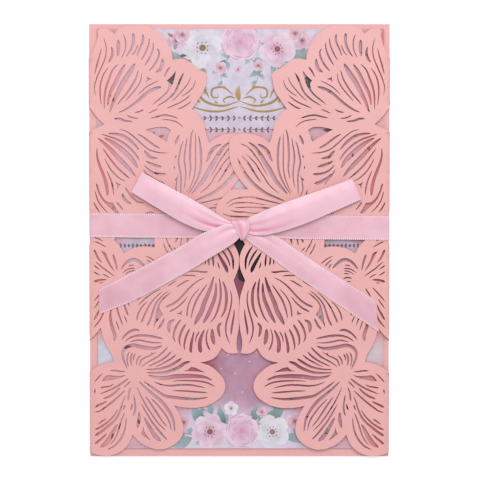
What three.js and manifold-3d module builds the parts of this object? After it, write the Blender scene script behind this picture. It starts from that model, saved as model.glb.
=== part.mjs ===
// A wedding invitation lying flat: a card jacket folded from one sheet, whose two side flaps are laser-cut
// into a lace of roses and fern leaves and meet in front, a printed card resting inside it, and one length of
// satin ribbon tied round the jacket in a flat bow.
// Millimetres. X runs across the page, Y up the page, Z out of its front. The back lies on z = 0, and the
// origin is under the middle of the page.
import * as THREE from 'three';
import { mergeVertices } from 'three/addons/utils/BufferGeometryUtils.js';
import Module from 'manifold-3d';

// The jacket.
const pageWidth = 127;
const pageHeight = 183;
const jacketThickness = 0.35;
const backPanelInset = 0.15; // how far the back panel stops short of the folds where no flap is attached

// The card inside, by the border of the back panel that shows round it.
const cardThickness = 0.35;
const cardBorderLeft = 3.5;
const cardBorderRight = 2.5;
const cardBorderTop = 2.1;
const cardBorderBottom = 3.4;

// Air between the sheets.
const restClearance = 0.1; // a piece and what it rests on
const flapAir = 0.3; // the card and the flap over it, and one flap and the other

// The ribbon.
const ribbonWidth = 9.7;
const ribbonThickness = 0.2;
const bandBelowTopLeft = 85.3; // the middle of the band at the left fold, from the page's top edge
const bandBelowTopRight = 86.3;
const bandStep = 1.6; // the length over which the band climbs onto the upper flap
const loopRise = 2.6; // the height of a loop's upper layer over its lower one
const tailLift = 0.35; // how far the tails stand off the card under them
const knotLength = 8.6;
const knotWidth = 7.8;
const knotHeight = 2.5;
const knotRight = 0.4; // the knot's middle, right of the page's middle

// The bow in plan, from the knot's middle: the upper and the lower edge of each tail and loop, as points spread
// evenly along it.
const LEFT_TAIL = [
  [[-0.4, 1.6], [-9, 0.2], [-18, -3.6], [-27.5, -9.3], [-37.5, -15.2], [-48.5, -20.9], [-59.7, -26.1]],
  [[-0.4, -2.4], [-9.4, -9.8], [-19.5, -15.6], [-28.6, -20.7], [-38, -26], [-48.2, -31.4], [-59.6, -36.6]],
];
const RIGHT_TAIL = [
  [[0.4, 1.6], [13.6, -2.7], [22.5, -9], [31, -14.9], [40, -20.5], [48.5, -25.7], [56.9, -30.4]],
  [[0.4, -2.4], [6.6, -9.4], [16.3, -16], [25.5, -22.6], [35.5, -29], [46.5, -36.2], [58.1, -43.4]],
];
const LEFT_LOOP = [
  [[-0.4, 1.8], [-9.8, 6.1], [-19.5, 11.9], [-30.5, 18.1], [-41, 23.2]],
  [[-0.4, -1.6], [-12.5, -1.2], [-23.5, 2.3], [-35, 8.6], [-46, 14.9]],
];
const RIGHT_LOOP = [
  [[0.4, 1.8], [10.5, 7.6], [22, 12.1], [34.8, 16.7], [47.2, 21]],
  [[0.4, -1.6], [13, -2.3], [25.5, 1], [38.5, 6.8], [51, 12]],
];

// The lace was drawn on a page of this size, and stretches with the page.
const drawnWidth = 127;
const drawnHeight = 183;

// Outlines in the lace: across from the flap's fold, then up from the page's bottom edge.
// The flap's edge, from the top of the fold round to its foot.
const FLAP_EDGE = [
  [0, 168.3], [1.5, 170.5], [2.8, 173.5], [3.7, 176.5], [4.0, 178.5], [3.6, 180], [5.5, 181.4], [7.7, 181],
  [11, 178.8], [12.8, 181], [15, 182], [20, 182.4], [24, 182.2], [26.5, 181.2], [29, 179.6], [31, 178],
  [32.2, 176.5], [33.5, 174.5], [34.5, 172.3], [35.2, 170], [35.4, 167.8], [37.5, 168.3], [40, 168.4],
  [42, 167.3], [45, 165.2], [47.5, 163.4], [49.3, 162.6], [49.7, 161.5], [49.5, 159], [48.8, 155.5],
  [47.8, 153.5], [45.8, 150.5], [43.5, 147.2], [45.5, 146], [47.2, 143.8], [48.6, 141], [49.3, 138],
  [49.9, 135.3], [50.8, 133], [53, 134.6], [56, 136.1], [60, 136.9], [64, 136.6], [66.5, 135.7],
  [67.6, 133.5], [67.8, 130], [67.6, 127], [67, 124.5], [65.8, 121.3], [64.2, 118.8], [62.2, 116.2],
  [59.8, 113.4], [64, 113.4], [67.3, 113.2], [70.1, 110.3], [72.9, 106.9], [73.4, 104.5], [73, 102],
  [71.5, 99.3], [68.9, 96.6], [65.5, 94], [62.3, 92.3], [61.1, 90.3], [62.4, 87.9], [63.1, 86.1],
  [63.35, 85], [63.4, 82.7], [63.2, 80.5], [62.6, 78.6], [61.9, 76.9], [61.1, 75], [61.5, 73.6],
  [62.2, 71.3], [62.9, 69], [63.3, 67], [63.4, 65.5], [63.4, 56], [63.1, 53.4], [62.5, 50.6],
  [62.3, 48.3], [62.5, 46], [63, 44.2], [61.2, 43.9], [59, 44.1], [57.3, 45], [56, 46.3], [55.2, 44.9],
  [54, 43.1], [52, 41.5], [49.3, 40.5], [46.8, 40.1], [50.9, 38.7], [54.5, 35.9], [56.6, 33.4],
  [57.5, 30.6], [57.3, 28.2], [55.9, 25.7], [53.4, 23.6], [50.2, 21.9], [46.7, 21], [42.5, 20.8],
  [38.8, 21.1], [35.9, 21.7], [37.5, 19.2], [38.7, 16.5], [39.5, 14], [39.8, 11.8], [39.5, 9.5],
  [38.5, 7.6], [37, 6], [35.2, 4.7], [32.8, 3.6], [30, 3.1], [27, 3.4], [24.6, 4.2], [22, 5.6],
  [20, 7.3], [18.2, 9.4], [17.3, 7], [16.3, 5.1], [14, 2.8], [11.8, 1.4], [9.5, 0.6], [7.2, 0.3],
  [4.8, 0.5], [2.4, 1], [0, 1.9],
];
// The fold edge goes on up, with a notch cut out of it low down and another high up.
const LOWER_NOTCH = [
  [0, 35.8], [3.4, 38.4], [6.7, 39.6], [10.3, 40.4], [9.9, 42.3], [9.2, 43.9], [7.6, 46.5], [6.4, 49],
  [5.4, 52.4], [4.8, 54.8], [4, 53.8], [2, 51.5], [0, 49.6],
];
const UPPER_NOTCH = [
  [0, 137.5], [2.2, 138.8], [4.5, 139.8], [6.6, 140.8], [4, 143.2], [2.3, 145.3], [1, 147.2], [0, 148.7],
];
// Slits of the lace, petal by petal from the top. The finest ones are left out of the solid.
const CREST = [
  [0.6, 0.6, 5.5, 172.9, 4.6, 169.3, 3.5, 165.5, 2.5, 161.7],
  [0.5, 0.5, 6.3, 177.5, 7.4, 173.5, 7.1, 169, 5.3, 164.5, 3.3, 159.8, 2.4, 156, 2.9, 152.6],
  [1.0, 0.62, 9.6, 173.5, 10.1, 170.5, 9.4, 168.3, 8.2, 166.7],
  [1.4, 0.4, 12.5, 176.4, 12.6, 173, 12.3, 169.2],
  [0.5, 0.4, 14.7, 178.8, 15.6, 175.5, 15.4, 172, 14.6, 170, 13.6, 168.5],
  [1.1, 0.12, 18.8, 179.2, 18.9, 175.5, 18, 172.5, 16.8, 170.5, 15.7, 169],
  [0.8, 0.2, 22.8, 178.8, 23, 176.2, 22, 173.5, 21, 171.3, 20.3, 169.3],
  [0.6, 0.6, 25.6, 177.3, 25.4, 174.5, 24.3, 171.5, 23.3, 169.5, 22.1, 167.6],
  [0.7, 0.6, 27.2, 175.3, 27.2, 173, 26.3, 170, 25, 167.5, 23.7, 165.5],
  [0.8, 0.5, 28.9, 172.8, 29.7, 171.2, 29, 168, 27.3, 165.2, 25.3, 163],
  [1.4, 0.5, 31.2, 168.5, 31, 165.8, 30.1, 163.7, 28.2, 162.6],
  [0.7, 0.3, 34.5, 165, 33.3, 163.5, 32.4, 161.9, 31.8, 160.5],
];
const CUP = [
  [0.6, 0.5, 8.4, 164.8, 6.3, 161.7, 5.1, 158, 4.8, 154.5, 5, 151.5, 5.4, 148.6],
  [0.8, 0.5, 12.6, 166.2, 10.4, 164, 8.7, 160, 7.3, 156, 6.7, 152.5, 6.6, 149.5, 6.6, 146.8],
  [1.4, 0.35, 15.6, 166.2, 13.5, 162.8, 11.3, 158.3, 9.3, 154.5, 8.4, 151.5, 8, 148.5],
  [1.9, 0.27, 19.6, 166.5, 17, 162, 14.8, 158.8, 12.3, 154, 10.5, 150.5, 9.5, 147.8, 8.7, 145.7],
  [0.75, 0.5, 21, 163.7, 20, 160.3, 17.5, 155.8, 15.5, 153, 13.5, 150.8, 12, 148.9],
  [0.5, 0.5, 22.3, 162.5, 22, 159.5, 20.3, 156.2, 18, 153.4, 16.5, 151.7, 15.3, 150.3],
  [0.4, 0.5, 29.5, 159.2, 27, 158, 24, 156.2, 22.3, 154.6, 20.6, 153],
  [1.2, 0.15, 30.8, 156.6, 28, 155.8, 25.2, 154.4, 22.5, 152.2, 20, 150, 17.5, 148.2, 15.2, 146.8, 12.4, 145.7],
  [0.5, 0.4, 16, 144.8, 17.5, 143.9, 19.2, 143.4, 21.3, 143.3],
  [0.9, 0.3, 10.6, 143.2, 12.9, 143.1, 15, 142.3, 18.7, 142],
];
const SIDE_PETAL = [
  [0.8, 0.2, 40.2, 162.6, 38.8, 160, 37.8, 157.3, 36.9, 155.2, 35.3, 153, 33, 151, 30.5, 149.4, 28.7, 148.3],
  [0.4, 0.5, 43.2, 161, 42.2, 158.5, 40.2, 155.8, 38, 153.3, 36.3, 151.6, 34.8, 150.5],
  [0.4, 0.5, 45, 159.5, 44.5, 157.3, 43, 155.2, 41.2, 153.8, 39, 152.4],
  [0.5, 0.5, 43.1, 153.3, 41, 151.5, 38.5, 149.9, 35.5, 148.6, 32.7, 147.4],
  [0.6, 0.6, 43.4, 150.5, 41.3, 149, 39.2, 147.7, 37.4, 147.3],
  [0.7, 0.45, 26, 143.4, 28.5, 143.9, 31.5, 144.6, 34, 144.4, 36, 143.9, 38, 143.2],
  [0.4, 0.5, 30.6, 142.9, 34, 142.6, 36.5, 142, 38.5, 140.8, 40, 139.4],
];
const LEFT_FAN = [
  [0.55, 0.5, 12.6, 138.7, 15.5, 138, 18.5, 136, 22, 132.8, 25.5, 130.1, 29.5, 128.9, 33.5, 128.7],
  [0.8, 0.6, 20.4, 136.8, 22.5, 135.7, 25, 133.8, 27.5, 132, 30.2, 130.6],
  [1.2, 0.5, 8, 137, 11.5, 136.7, 14.5, 135.9, 17, 134.3, 19.2, 132.3, 21.3, 129.9],
  [0.85, 0.6, 5.2, 136.7, 8, 135.8, 11.5, 134.6, 14.7, 132.8, 17.5, 130.5, 19.8, 128, 21.4, 125.5],
  [1.9, 0.6, 6.4, 135.2, 9.5, 133.5, 13, 131, 16.3, 128, 18.7, 125.5, 20.7, 122.2],
  [1.7, 0.55, 3.7, 135.1, 6.3, 133, 9, 130.4, 11.8, 127.3, 14.8, 124.3, 17.5, 121.5, 19.9, 118.6],
  [0.8, 0.55, 5.8, 130.9, 7.6, 128.2, 9.7, 125.3, 11.7, 122.8, 14, 120.6, 17.5, 117.8],
  [0.5, 0.5, 6.6, 126.7, 7.9, 124, 9.6, 121.3, 11.8, 119, 13.5, 117.7, 15.7, 116.8],
  [1.2, 0.85, 3.5, 131, 3.5, 127.5, 4.1, 124.8, 5.2, 121.8, 6.3, 119, 7.2, 116, 7.7, 113, 7.8, 110.5],
  [0.6, 0.7, 7.5, 121.4, 8.6, 119, 9.6, 116.3, 10.2, 113.5, 10.5, 110.9],
  [1.2, 0.35, 23.2, 129.9, 24.5, 128.3, 25.5, 127.1, 27.3, 126.6, 29.2, 126.4],
  [1.1, 0.6, 23.9, 125.4, 25.5, 124.5, 27.5, 123.7, 29.2, 123.2, 30.8, 122.8],
  [0.9, 0.97, 23.3, 123.9, 24.8, 122.1, 26.8, 120.7, 29, 120, 30.8, 119.8, 32.7, 119.8],
  [0.6, 0.5, 23, 121.9, 24.6, 119.3, 26, 117.6, 27.7, 115.2],
  [1.3, 0.85, 24.6, 120.1, 26.2, 118.4, 28.3, 117, 30, 116.2, 32, 115.8],
  [0.5, 0.4, 2.5, 112.8, 3.1, 110.8, 3.8, 108.7, 5, 106.7, 6.5, 105, 8.2, 103.4],
  [0.6, 0.5, 1.9, 108.2, 3, 106, 4.8, 103.4],
  [1.2, 0.4, 14, 111.7, 14.5, 110.3, 15.8, 108.4, 18, 107.2],
  [0.8, 0.35, 15.2, 114.4, 16.5, 112.4, 18, 110.2, 20, 108.4, 21.5, 107.8, 23.3, 107.7],
];
const TALL_PETAL = [
  [1.0, 0.6, 38.2, 136.5, 37.3, 134.4, 36.4, 132.2],
  [0.7, 0.4, 39.9, 134, 39, 131.5, 38.3, 128, 37.8, 125.2, 38.2, 122.3, 38.8, 119.5, 38.8, 116, 38.7, 111],
  [0.6, 0.4, 41.5, 135.3, 40.9, 131.5, 40.4, 128, 40.3, 125.5, 40.7, 122.5, 40.9, 119.5, 40.6, 116.5, 40.1, 113.7],
  [0.8, 0.4, 44, 138.9, 43.3, 136.5, 42.9, 133, 42.7, 129, 42.7, 125.5, 42.9, 122.5, 42.6, 120, 42.2, 117.6],
  [0.5, 0.5, 45, 137.3, 45, 133, 45, 128, 45, 124, 44.8, 121, 44.2, 118, 43.2, 115.3, 42.2, 113.2, 41, 112],
  [0.9, 0.35, 46.2, 136, 47, 132, 47.3, 128, 47.3, 124.5, 47, 121.5, 46, 118.3, 44.5, 115.3, 43, 112.9, 41.8, 111.3],
];
const LEANING_PETAL = [
  [1.3, 0.45, 56, 132.6, 53.2, 131, 51.2, 128.8, 50.4, 126.5, 49.4, 124.8],
  [1.7, 0.55, 59.8, 133.4, 57.3, 131.6, 55.4, 129.2, 52.8, 125, 50.5, 121.3, 48.3, 117.3, 46, 114.5, 43.2, 111.4],
  [0.55, 0.15, 63.1, 132.6, 61, 131.8, 59, 130.3, 57, 127.8, 55, 125, 53, 121.5, 51.2, 118.7],
  [0.5, 0.5, 60.9, 128.6, 58.3, 126, 56.3, 123.7, 55.2, 121.7, 53.3, 119, 51.5, 116, 49.3, 113.7, 46.6, 111.6],
  [0.8, 0.35, 62.7, 127.7, 60.5, 125.3, 58.7, 122.8, 57.3, 120.5, 55.8, 118.2, 54.2, 116.2],
  [1.3, 0.45, 64.3, 126.8, 63.1, 123.8, 61.3, 120.4, 58.8, 117, 55.8, 114.2, 52, 111.6, 48.8, 110.2, 44.2, 108.4],
  [0.6, 0.6, 69.5, 106.9, 66.7, 108.9, 62.7, 109.9, 58.8, 110.1, 55.7, 109.6, 51.7, 108.6, 45.5, 107.2],
  [0.45, 0.5, 68.5, 105.8, 65.9, 107.4, 62.4, 107.8, 58.8, 107.7, 52, 106.8],
  [0.6, 0.9, 65.9, 105.7, 58.8, 105.8, 53.4, 105.6, 50.4, 105.4],
  [0.55, 0.35, 67.6, 104.6, 64.4, 103.9, 61.6, 103.8, 57, 103.3, 54.8, 103.6],
  [0.7, 0.5, 70.8, 103.3, 67.8, 102.2, 63.9, 101.9, 58.8, 101.8],
];
const BAND_SIDE = [
  [0.8, 0.15, 2, 88, 2.6, 86.9, 3.4, 85, 4.4, 83.5, 5.5, 82.4],
  [0.8, 0.2, 10, 86.1, 10.5, 84.5, 11, 83, 11.5, 81, 11.9, 78.9],
  [0.5, 0.5, 2.5, 83, 4, 81.8, 6, 80, 8, 78.6, 10.9, 76.5],
  [1.0, 0.12, 1.9, 74.3, 3.2, 74.7, 5, 75.1, 7.6, 75.2],
  [1.2, 0.6, 13.4, 79.5, 15, 81.7, 16.9, 83.2, 18.8, 83.8, 20.5, 83.3, 22, 82.2, 24.3, 79.9],
  [0.5, 0.8, 14, 77.9, 15.5, 79.2, 17.3, 79.9, 19.5, 80],
  [0.55, 0.9, 23.8, 85.1, 25.3, 84.7, 27, 83.6, 29.1, 82],
  [0.5, 0.8, 31.3, 91, 31.9, 89.2, 33, 87, 34.1, 85.7],
  [0.5, 0.7, 32.4, 93.9, 33.2, 91, 34.3, 88.9, 35.8, 86.5],
  [0.75, 0.85, 38.2, 94.3, 37.1, 92.4, 36.5, 90.7],
  [0.8, 0.5, 41.9, 94.6, 41.7, 92.3, 41.3, 90.1],
  [0.8, 0.5, 44.2, 94.8, 44.4, 92.2],
];
const MIDDLE_FLOWER = [
  [0.65, 0.7, 50.4, 85.5, 50.5, 83, 50.7, 81],
  [0.7, 0.7, 52.1, 86.3, 52.4, 83.5, 52.6, 80.6],
  [0.7, 0.7, 42.3, 78.6, 45.5, 78.8, 48.3, 78.4, 50.4, 78.6],
  [0.55, 0.6, 39.4, 77, 42, 77, 44, 77, 45.4, 76.6],
  [0.55, 0.5, 36.7, 72, 39, 73.4, 40.8, 74.5, 42.4, 75.1],
  [0.8, 0.92, 49, 76.2, 46, 74.7, 43, 72.3, 40.3, 69.3, 37.8, 66.7, 35.1, 64.8, 32.2, 63.6],
  [0.7, 0.85, 41.8, 68.3, 39.6, 65.6, 36.8, 63.2, 33.8, 61.6],
  [0.6, 0.9, 46.7, 71.6, 44.4, 69.1, 42.5, 66, 41.6, 62.8, 41.3, 59.4],
  [0.75, 0.5, 49.9, 73.4, 47.5, 70, 45.3, 66.4, 43.9, 62.6, 43, 58.6],
  [1.8, 0.75, 52.7, 76.7, 51.5, 72.4, 50, 68.5, 48.6, 65.2, 47.5, 61.8, 46, 59, 44.4, 56],
  [1.5, 0.7, 53.6, 74.2, 53.5, 70, 52.9, 66.8, 51.7, 63.7, 50.2, 60.3, 48.1, 56.6],
  [0.85, 0.35, 54.9, 76.1, 55.5, 72, 55.6, 68.5, 55.1, 65, 54.1, 61.8, 53, 59.3, 51, 56.9],
  [1.1, 0.45, 56.4, 74.7, 57.5, 71.8, 58, 68.5, 57.9, 65, 57.2, 61.9, 55.6, 59],
  [0.65, 0.55, 59.5, 71.2, 60.2, 68, 60, 64.5, 59, 60.5, 58, 57, 57.7, 53.7, 58.3, 50.8, 59.6, 47.8],
  [0.8, 0.7, 61.3, 62.9, 61.2, 60.5, 60.7, 57.3, 60.2, 54.5, 60, 51.6],
  [1.4, 0.75, 54.1, 87, 55.5, 84.5, 57, 81.9, 58, 79.9, 58.6, 78],
  [0.7, 0.4, 55.7, 88.2, 57.4, 86, 58.6, 83.8, 59.3, 82.1, 59.6, 80.6],
  [0.85, 0.55, 57.7, 89.7, 59.6, 86.8, 60.6, 84.4, 60.9, 81.9, 60.8, 79.2],
];
const FERN = [
  [0.5, 0.5, 7.5, 72.2, 5.5, 70.1, 3.6, 68, 1.9, 65.9],
  [0.85, 0.75, 5.4, 64.9, 4.4, 62.4, 3.1, 60, 1.9, 58],
  [0.7, 0.3, 6.2, 61.9, 5.4, 59.9, 4, 57.4, 1.8, 54.8],
  [1.3, 0.85, 9.5, 63.4, 8.9, 60.5, 9.1, 57.5, 10, 54, 10.8, 51.3, 10.5, 49.1],
  [0.7, 0.15, 11.6, 64.4, 12, 62, 13, 59, 14.2, 55.7],
  [0.75, 0.6, 14.5, 65.7, 15.3, 63, 16.5, 59.9],
  [0.7, 0.3, 17.4, 67, 17.8, 65.9],
  [0.65, 0.6, 26.3, 71.2, 24, 70.1, 22, 68.5, 20.3, 66.4],
  [0.5, 0.5, 30.4, 71.4, 27, 69.6, 23.8, 67.3, 20.5, 64.2],
  [0.55, 0.75, 24.8, 66.1, 22.8, 64.3, 21.2, 61.9, 20.4, 59.9, 20.2, 57.7],
  [0.65, 0.9, 31, 70.3, 28.4, 68, 25.8, 64.9, 23.8, 61.2, 21.9, 56.8],
  [0.75, 0.9, 33.8, 70.8, 30.5, 68, 28.2, 65.1, 27, 62, 26, 58.8, 24.4, 55.5],
];
const LOWER_FAN = [
  [1.0, 0.55, 31.8, 59, 30.8, 56.8, 30, 55.4, 28.7, 54.2],
  [1.4, 0.5, 36.1, 58.4, 34.1, 57, 33.6, 55, 33.9, 52.6],
  [0.85, 0.4, 38.9, 58.5, 37, 55.8, 35.9, 53, 35.6, 50.8, 36.5, 48.6],
  [0.95, 0.3, 40.8, 56.5, 39.2, 53.6, 38.2, 50.8, 38.1, 48.9, 38.7, 47],
  [0.85, 0.3, 42.6, 54.6, 41.2, 51.8, 40.4, 49, 40.1, 46.9, 40.5, 45.2],
  [1.1, 0.8, 44.4, 53.5, 43.6, 50.3, 43, 47, 42.9, 45.1, 43.2, 44],
  [0.5, 0.4, 46.7, 53.5, 45.4, 51.3, 44.8, 48.3],
  [1.5, 0.85, 48.8, 54.2, 47.3, 50.8, 46.7, 48, 46.9, 45.6, 47.2, 44.1],
  [0.65, 0.8, 50.5, 54.8, 49.6, 52, 49.6, 49, 50.3, 46.7, 51.2, 45],
  [1.6, 0.55, 52, 54.6, 52.1, 51.4, 52.4, 49.5, 53, 47.5],
  [1.1, 0.45, 55.9, 57.2, 54.6, 55.3, 54.7, 53.3, 55.4, 50.7],
  [0.9, 0.75, 13.6, 49.6, 15.2, 51.7, 17.3, 53.3, 19.3, 54, 21.4, 53.6],
  [0.9, 0.6, 14.9, 49, 17.5, 50.7, 20.5, 51.5, 24, 51.5, 27.5, 51, 31.3, 50.2],
  [0.55, 0.35, 17, 48.8, 20.5, 49.6, 24, 49, 27.2, 48.5, 31, 48.5],
  [1.4, 0.33, 31, 47.3, 28.4, 46.2, 25, 46.2, 21.5, 46.8, 18, 47.4, 15.4, 46.4, 14.1, 44.2, 14.2, 42, 15, 39.8, 16.1, 37.3],
  [0.6, 0.3, 16.9, 44.7, 16.1, 42.8, 16, 40.4, 16.6, 38.1],
  [0.7, 0.5, 18.4, 44.4, 17.6, 42.6, 17.5, 40.8, 17.9, 38.6],
  [0.75, 0.25, 33.3, 46.8, 31.5, 44.8, 29, 42.6, 26, 40.9, 23.8, 39.6, 21.9, 38.1],
  [0.75, 0.3, 34.9, 44.9, 32.6, 42.6, 30, 40.8, 27.5, 39.6, 24.7, 38.3],
  [0.65, 0.25, 36.8, 43.5, 34.5, 41.6, 32, 40.2, 30, 39.1, 27.7, 38.3],
  [1.0, 0.15, 39.2, 41.9, 36.6, 40.2, 34, 38.7, 31, 37.7, 27.5, 37.2, 23.9, 37.1],
  [1.2, 0.2, 42.8, 40.6, 40.3, 39.8, 38, 38.2, 35.2, 36.9, 32, 35.9, 28, 35.7, 24, 35.8],
];
const BOTTOM_PETAL = [
  [1.7, 0.45, 24.8, 34.8, 28, 33.8, 32, 33.5, 36, 34.1, 40, 34.3, 44.5, 34.3, 49, 33.8, 52.1, 32.5],
  [0.65, 0.7, 34.8, 32.1, 38, 32.4, 42, 32.4, 46, 32.2, 49.8, 31.5, 53.3, 29.8],
  [0.7, 0.5, 27.1, 32, 30, 30.8, 34, 30.2, 38, 30.5, 42, 30.6, 45.5, 30.1, 49.4, 29.2],
  [0.65, 0.65, 35, 28.1, 40, 28, 45, 27.6, 50.2, 27.2],
  [1.1, 0.55, 22.8, 32.3, 26, 29.9, 29, 27.7, 32, 25.9, 35.5, 25.3, 40, 24.8, 45, 24.6, 50.4, 25.3],
  [1.2, 0.45, 20.9, 32.2, 23.7, 29.3, 27, 26.5, 30.2, 23.8, 33, 20.4, 35.2, 16.4, 36.2, 10.5],
  [0.65, 0.5, 26, 24.9, 28.7, 22.2, 31.3, 19, 33.3, 15.9, 34.2, 13.7, 34.6, 11],
  [0.75, 0.4, 23.6, 25.7, 26, 22.4, 28.3, 18.9, 30.4, 15.7, 32.9, 12.6],
  [0.6, 0.5, 20, 29.9, 21.7, 26, 24, 21.7, 27, 17.1, 29.5, 13.8, 32.5, 10.9],
  [0.75, 0.75, 21.8, 22.8, 24, 18.8, 26.3, 15, 28.6, 12, 30.7, 9.4, 33, 7.1],
  [1.6, 0.8, 23, 16.9, 24.7, 13.8, 26.3, 11, 27.9, 8.6, 30.2, 6.6],
  [1.3, 0.6, 20.9, 19.1, 21, 16.8, 20.7, 14.5, 20.2, 12.2],
  [0.75, 0.8, 18.6, 26.7, 19.1, 23.8, 19.4, 21.3, 19.2, 19.3, 18.4, 17.3],
  [0.65, 0.6, 18.1, 22.7, 17.9, 21.3, 17.3, 19.7],
  [0.8, 0.75, 17.7, 29.8, 16.9, 27.8, 16.6, 25.7, 16.3, 23.6],
];
const CORNER_FERN = [
  [1.0, 0.93, 15.2, 26.1, 14, 23, 13.2, 20.2, 11.9, 17.2, 10, 14.8, 7.3, 12.5, 4.5, 10.3, 2.1, 8.9],
  [0.75, 0.8, 12, 20.2, 10.3, 17.4, 8.2, 15.2, 5.8, 13.3, 3.9, 12.2, 2.1, 11.4],
  [0.65, 0.4, 14.9, 19, 13.6, 15.8, 12.5, 12.3, 11.4, 9, 10.1, 6.7, 8.3, 4.8],
  [0.75, 0.65, 15.5, 16.8, 15.2, 13, 14.2, 9.5, 12.6, 6.7, 10.4, 4.5, 7.4, 3],
  [0.95, 0.9, 7.4, 10, 5.2, 7.8, 3.5, 6.4, 2.1, 5.3],
  [1.8, 0.7, 11.8, 14, 10.2, 11, 8.6, 8, 6.9, 5.7, 4.4, 4],
  [0.75, 0.5, 15.2, 28.4, 12.5, 25.8, 9.3, 23, 6.5, 20.9, 4.5, 19.5, 2.1, 18.9],
  [0.85, 0.7, 7.5, 23.7, 5.4, 22.6, 3.6, 21.8, 2.1, 20.9],
  [0.9, 0.5, 13.1, 29.5, 11, 27.4, 8.7, 25.8, 5.6, 24.6],
  [0.75, 0.25, 16.6, 33.4, 13.6, 31.1, 10.6, 29.3, 7.5, 27.9, 4.3, 26.7],
  [0.6, 0.8, 10.5, 31.1, 8.7, 30, 6.8, 29.7, 4.4, 29.3],
  [0.65, 0.3, 8.7, 36.6, 11, 36.6, 13.2, 36.3, 15.3, 36.2],
  [0.5, 0.5, 5.7, 35.6, 4, 33.9, 1.9, 31.6],
];
// Larger openings with corners of their own.
const WINDOWS = [
  [[24.6, 160.9], [25.4, 160.2], [26.9, 159.9], [25.3, 159.4], [24.1, 158.4], [24.6, 159.8]],
  [[36.9, 163.4], [36.3, 160.8], [35.6, 158.2], [34.7, 156.2], [33.8, 154.7], [31.9, 152.7], [29.3, 150.6],
   [26.6, 148.8], [29, 151.1], [31.5, 153.2], [33.1, 155.1], [33.6, 156.8], [33.7, 158], [32.9, 159.2],
   [34.6, 160.6], [35.7, 161.8]],
  [[24, 138.5], [26.5, 139.2], [30, 139.7], [32.8, 139.5], [34.6, 138.3], [33.6, 136], [32.8, 133.5],
   [30.5, 134.9], [27.5, 136.7], [25.5, 137.9]],
  [[11.2, 116.7], [12.5, 115.8], [13.6, 115.5], [12.8, 115], [12, 113.3], [12, 115]],
  [[2.9, 116.1], [3.8, 115], [4.2, 113.4], [5, 111.5], [6.1, 109.7], [7.3, 108.4], [8.6, 107.8],
   [10.1, 107.7], [11, 106.2], [11.7, 104.8], [12.7, 103.4], [11.6, 103.3], [10, 104.6], [8.2, 106.2],
   [6.7, 107.6], [5.4, 109.1], [4.3, 111.2], [3.5, 113.2]],
  [[37.6, 119.9], [37.3, 118.4], [36.1, 117.5], [36.7, 116.9], [36.6, 115.3], [36.5, 113.2], [37.1, 111.6],
   [38.4, 110.1], [37.4, 111.9], [37, 113.4], [37.2, 115.3], [37.4, 117.5], [37.7, 118.6]],
  [[34.9, 113.6], [34.8, 111.9], [35, 111.3], [36, 111.1], [35.4, 111.9]],
  [[4.1, 88.2], [5.2, 87.3], [6.6, 86.8], [7.4, 85.9], [7.7, 84.7], [8.2, 83.5], [8.8, 82.2], [9.8, 80.5],
   [10.7, 78.6], [9.6, 79.9], [8.3, 81.6], [7.1, 83.7], [6.2, 85.5], [5.3, 87]],
  [[10.5, 91.9], [11.2, 93.2], [13, 96.4], [16, 99.6], [20.5, 101.4], [24.5, 101], [26.4, 98.4], [27.2, 95],
   [27.8, 88.8], [26, 89.1], [22, 89.2], [19, 88.6], [16.5, 87.5], [14.7, 86.3], [13.9, 87.6], [12.9, 89.4],
   [11.6, 90.9]],
  [[34.9, 70.1], [32.5, 67.8], [30.5, 65.8], [29.6, 64], [30.2, 62], [31.2, 60.5], [29, 57.8], [27.8, 56.2],
   [27.1, 54.5], [27.6, 57.5], [28.2, 61], [29, 64.2], [30.1, 66.2], [32, 68.2]],
  [[36.8, 60.8], [38.3, 61.3], [39.1, 62.5], [39, 61.2], [39.2, 60.3], [38.2, 60.6]],
  [[28.8, 44.9], [26.9, 43.9], [26.2, 44.4], [25.9, 43.5], [23.7, 42.5], [21.7, 41.2], [20.9, 38.6],
   [21.4, 38.6], [22.2, 40.7], [23.8, 41.9], [26.3, 43]],
  [[39.7, 36.5], [41.9, 37.1], [43, 38.1], [44.7, 37.9], [46.6, 37], [49, 35.9], [46.3, 36.2], [42.5, 36.4]],
  [[22.8, 12.7], [22.3, 10.7], [21.8, 9.8], [22.9, 8.8], [24.4, 7.8], [25.9, 6.8], [24.9, 8.1], [23.7, 9.8],
   [23.1, 11]],
  [[15.5, 34.8], [13.5, 34.4], [10, 34.5], [7.2, 34.5], [6.3, 33.8], [5.2, 32.2], [8.5, 32.5], [11.7, 33.2],
   [13.7, 33.9]],
];

const SLITS = [
  CREST, CUP, SIDE_PETAL, LEFT_FAN, TALL_PETAL, LEANING_PETAL, BAND_SIDE, MIDDLE_FLOWER, FERN, LOWER_FAN,
  BOTTOM_PETAL, CORNER_FERN,
].flat();

// Heights of the sheets, from the table up.
const bandLift = ribbonThickness + restClearance; // the back panel's rise over the ribbon behind it
const cardBottom = bandLift + jacketThickness + restClearance;
const lowerFlapBottom = cardBottom + cardThickness + flapAir;
const upperFlapBottom = lowerFlapBottom + jacketThickness + flapAir;
const lowerFlapTop = lowerFlapBottom + jacketThickness;
const upperFlapTop = upperFlapBottom + jacketThickness;

// Where the band of ribbon crosses the page.
const bandLeft = pageHeight - bandBelowTopLeft;
const bandRight = pageHeight - bandBelowTopRight;
const bandClear = 0.5;
const bumpLow = Math.min(bandLeft, bandRight) - ribbonWidth / 2 - bandClear;
const bumpHigh = Math.max(bandLeft, bandRight) + ribbonWidth / 2 + bandClear;
const bumpRamp = 1;

const wasm = await Module();
wasm.setup();

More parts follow.
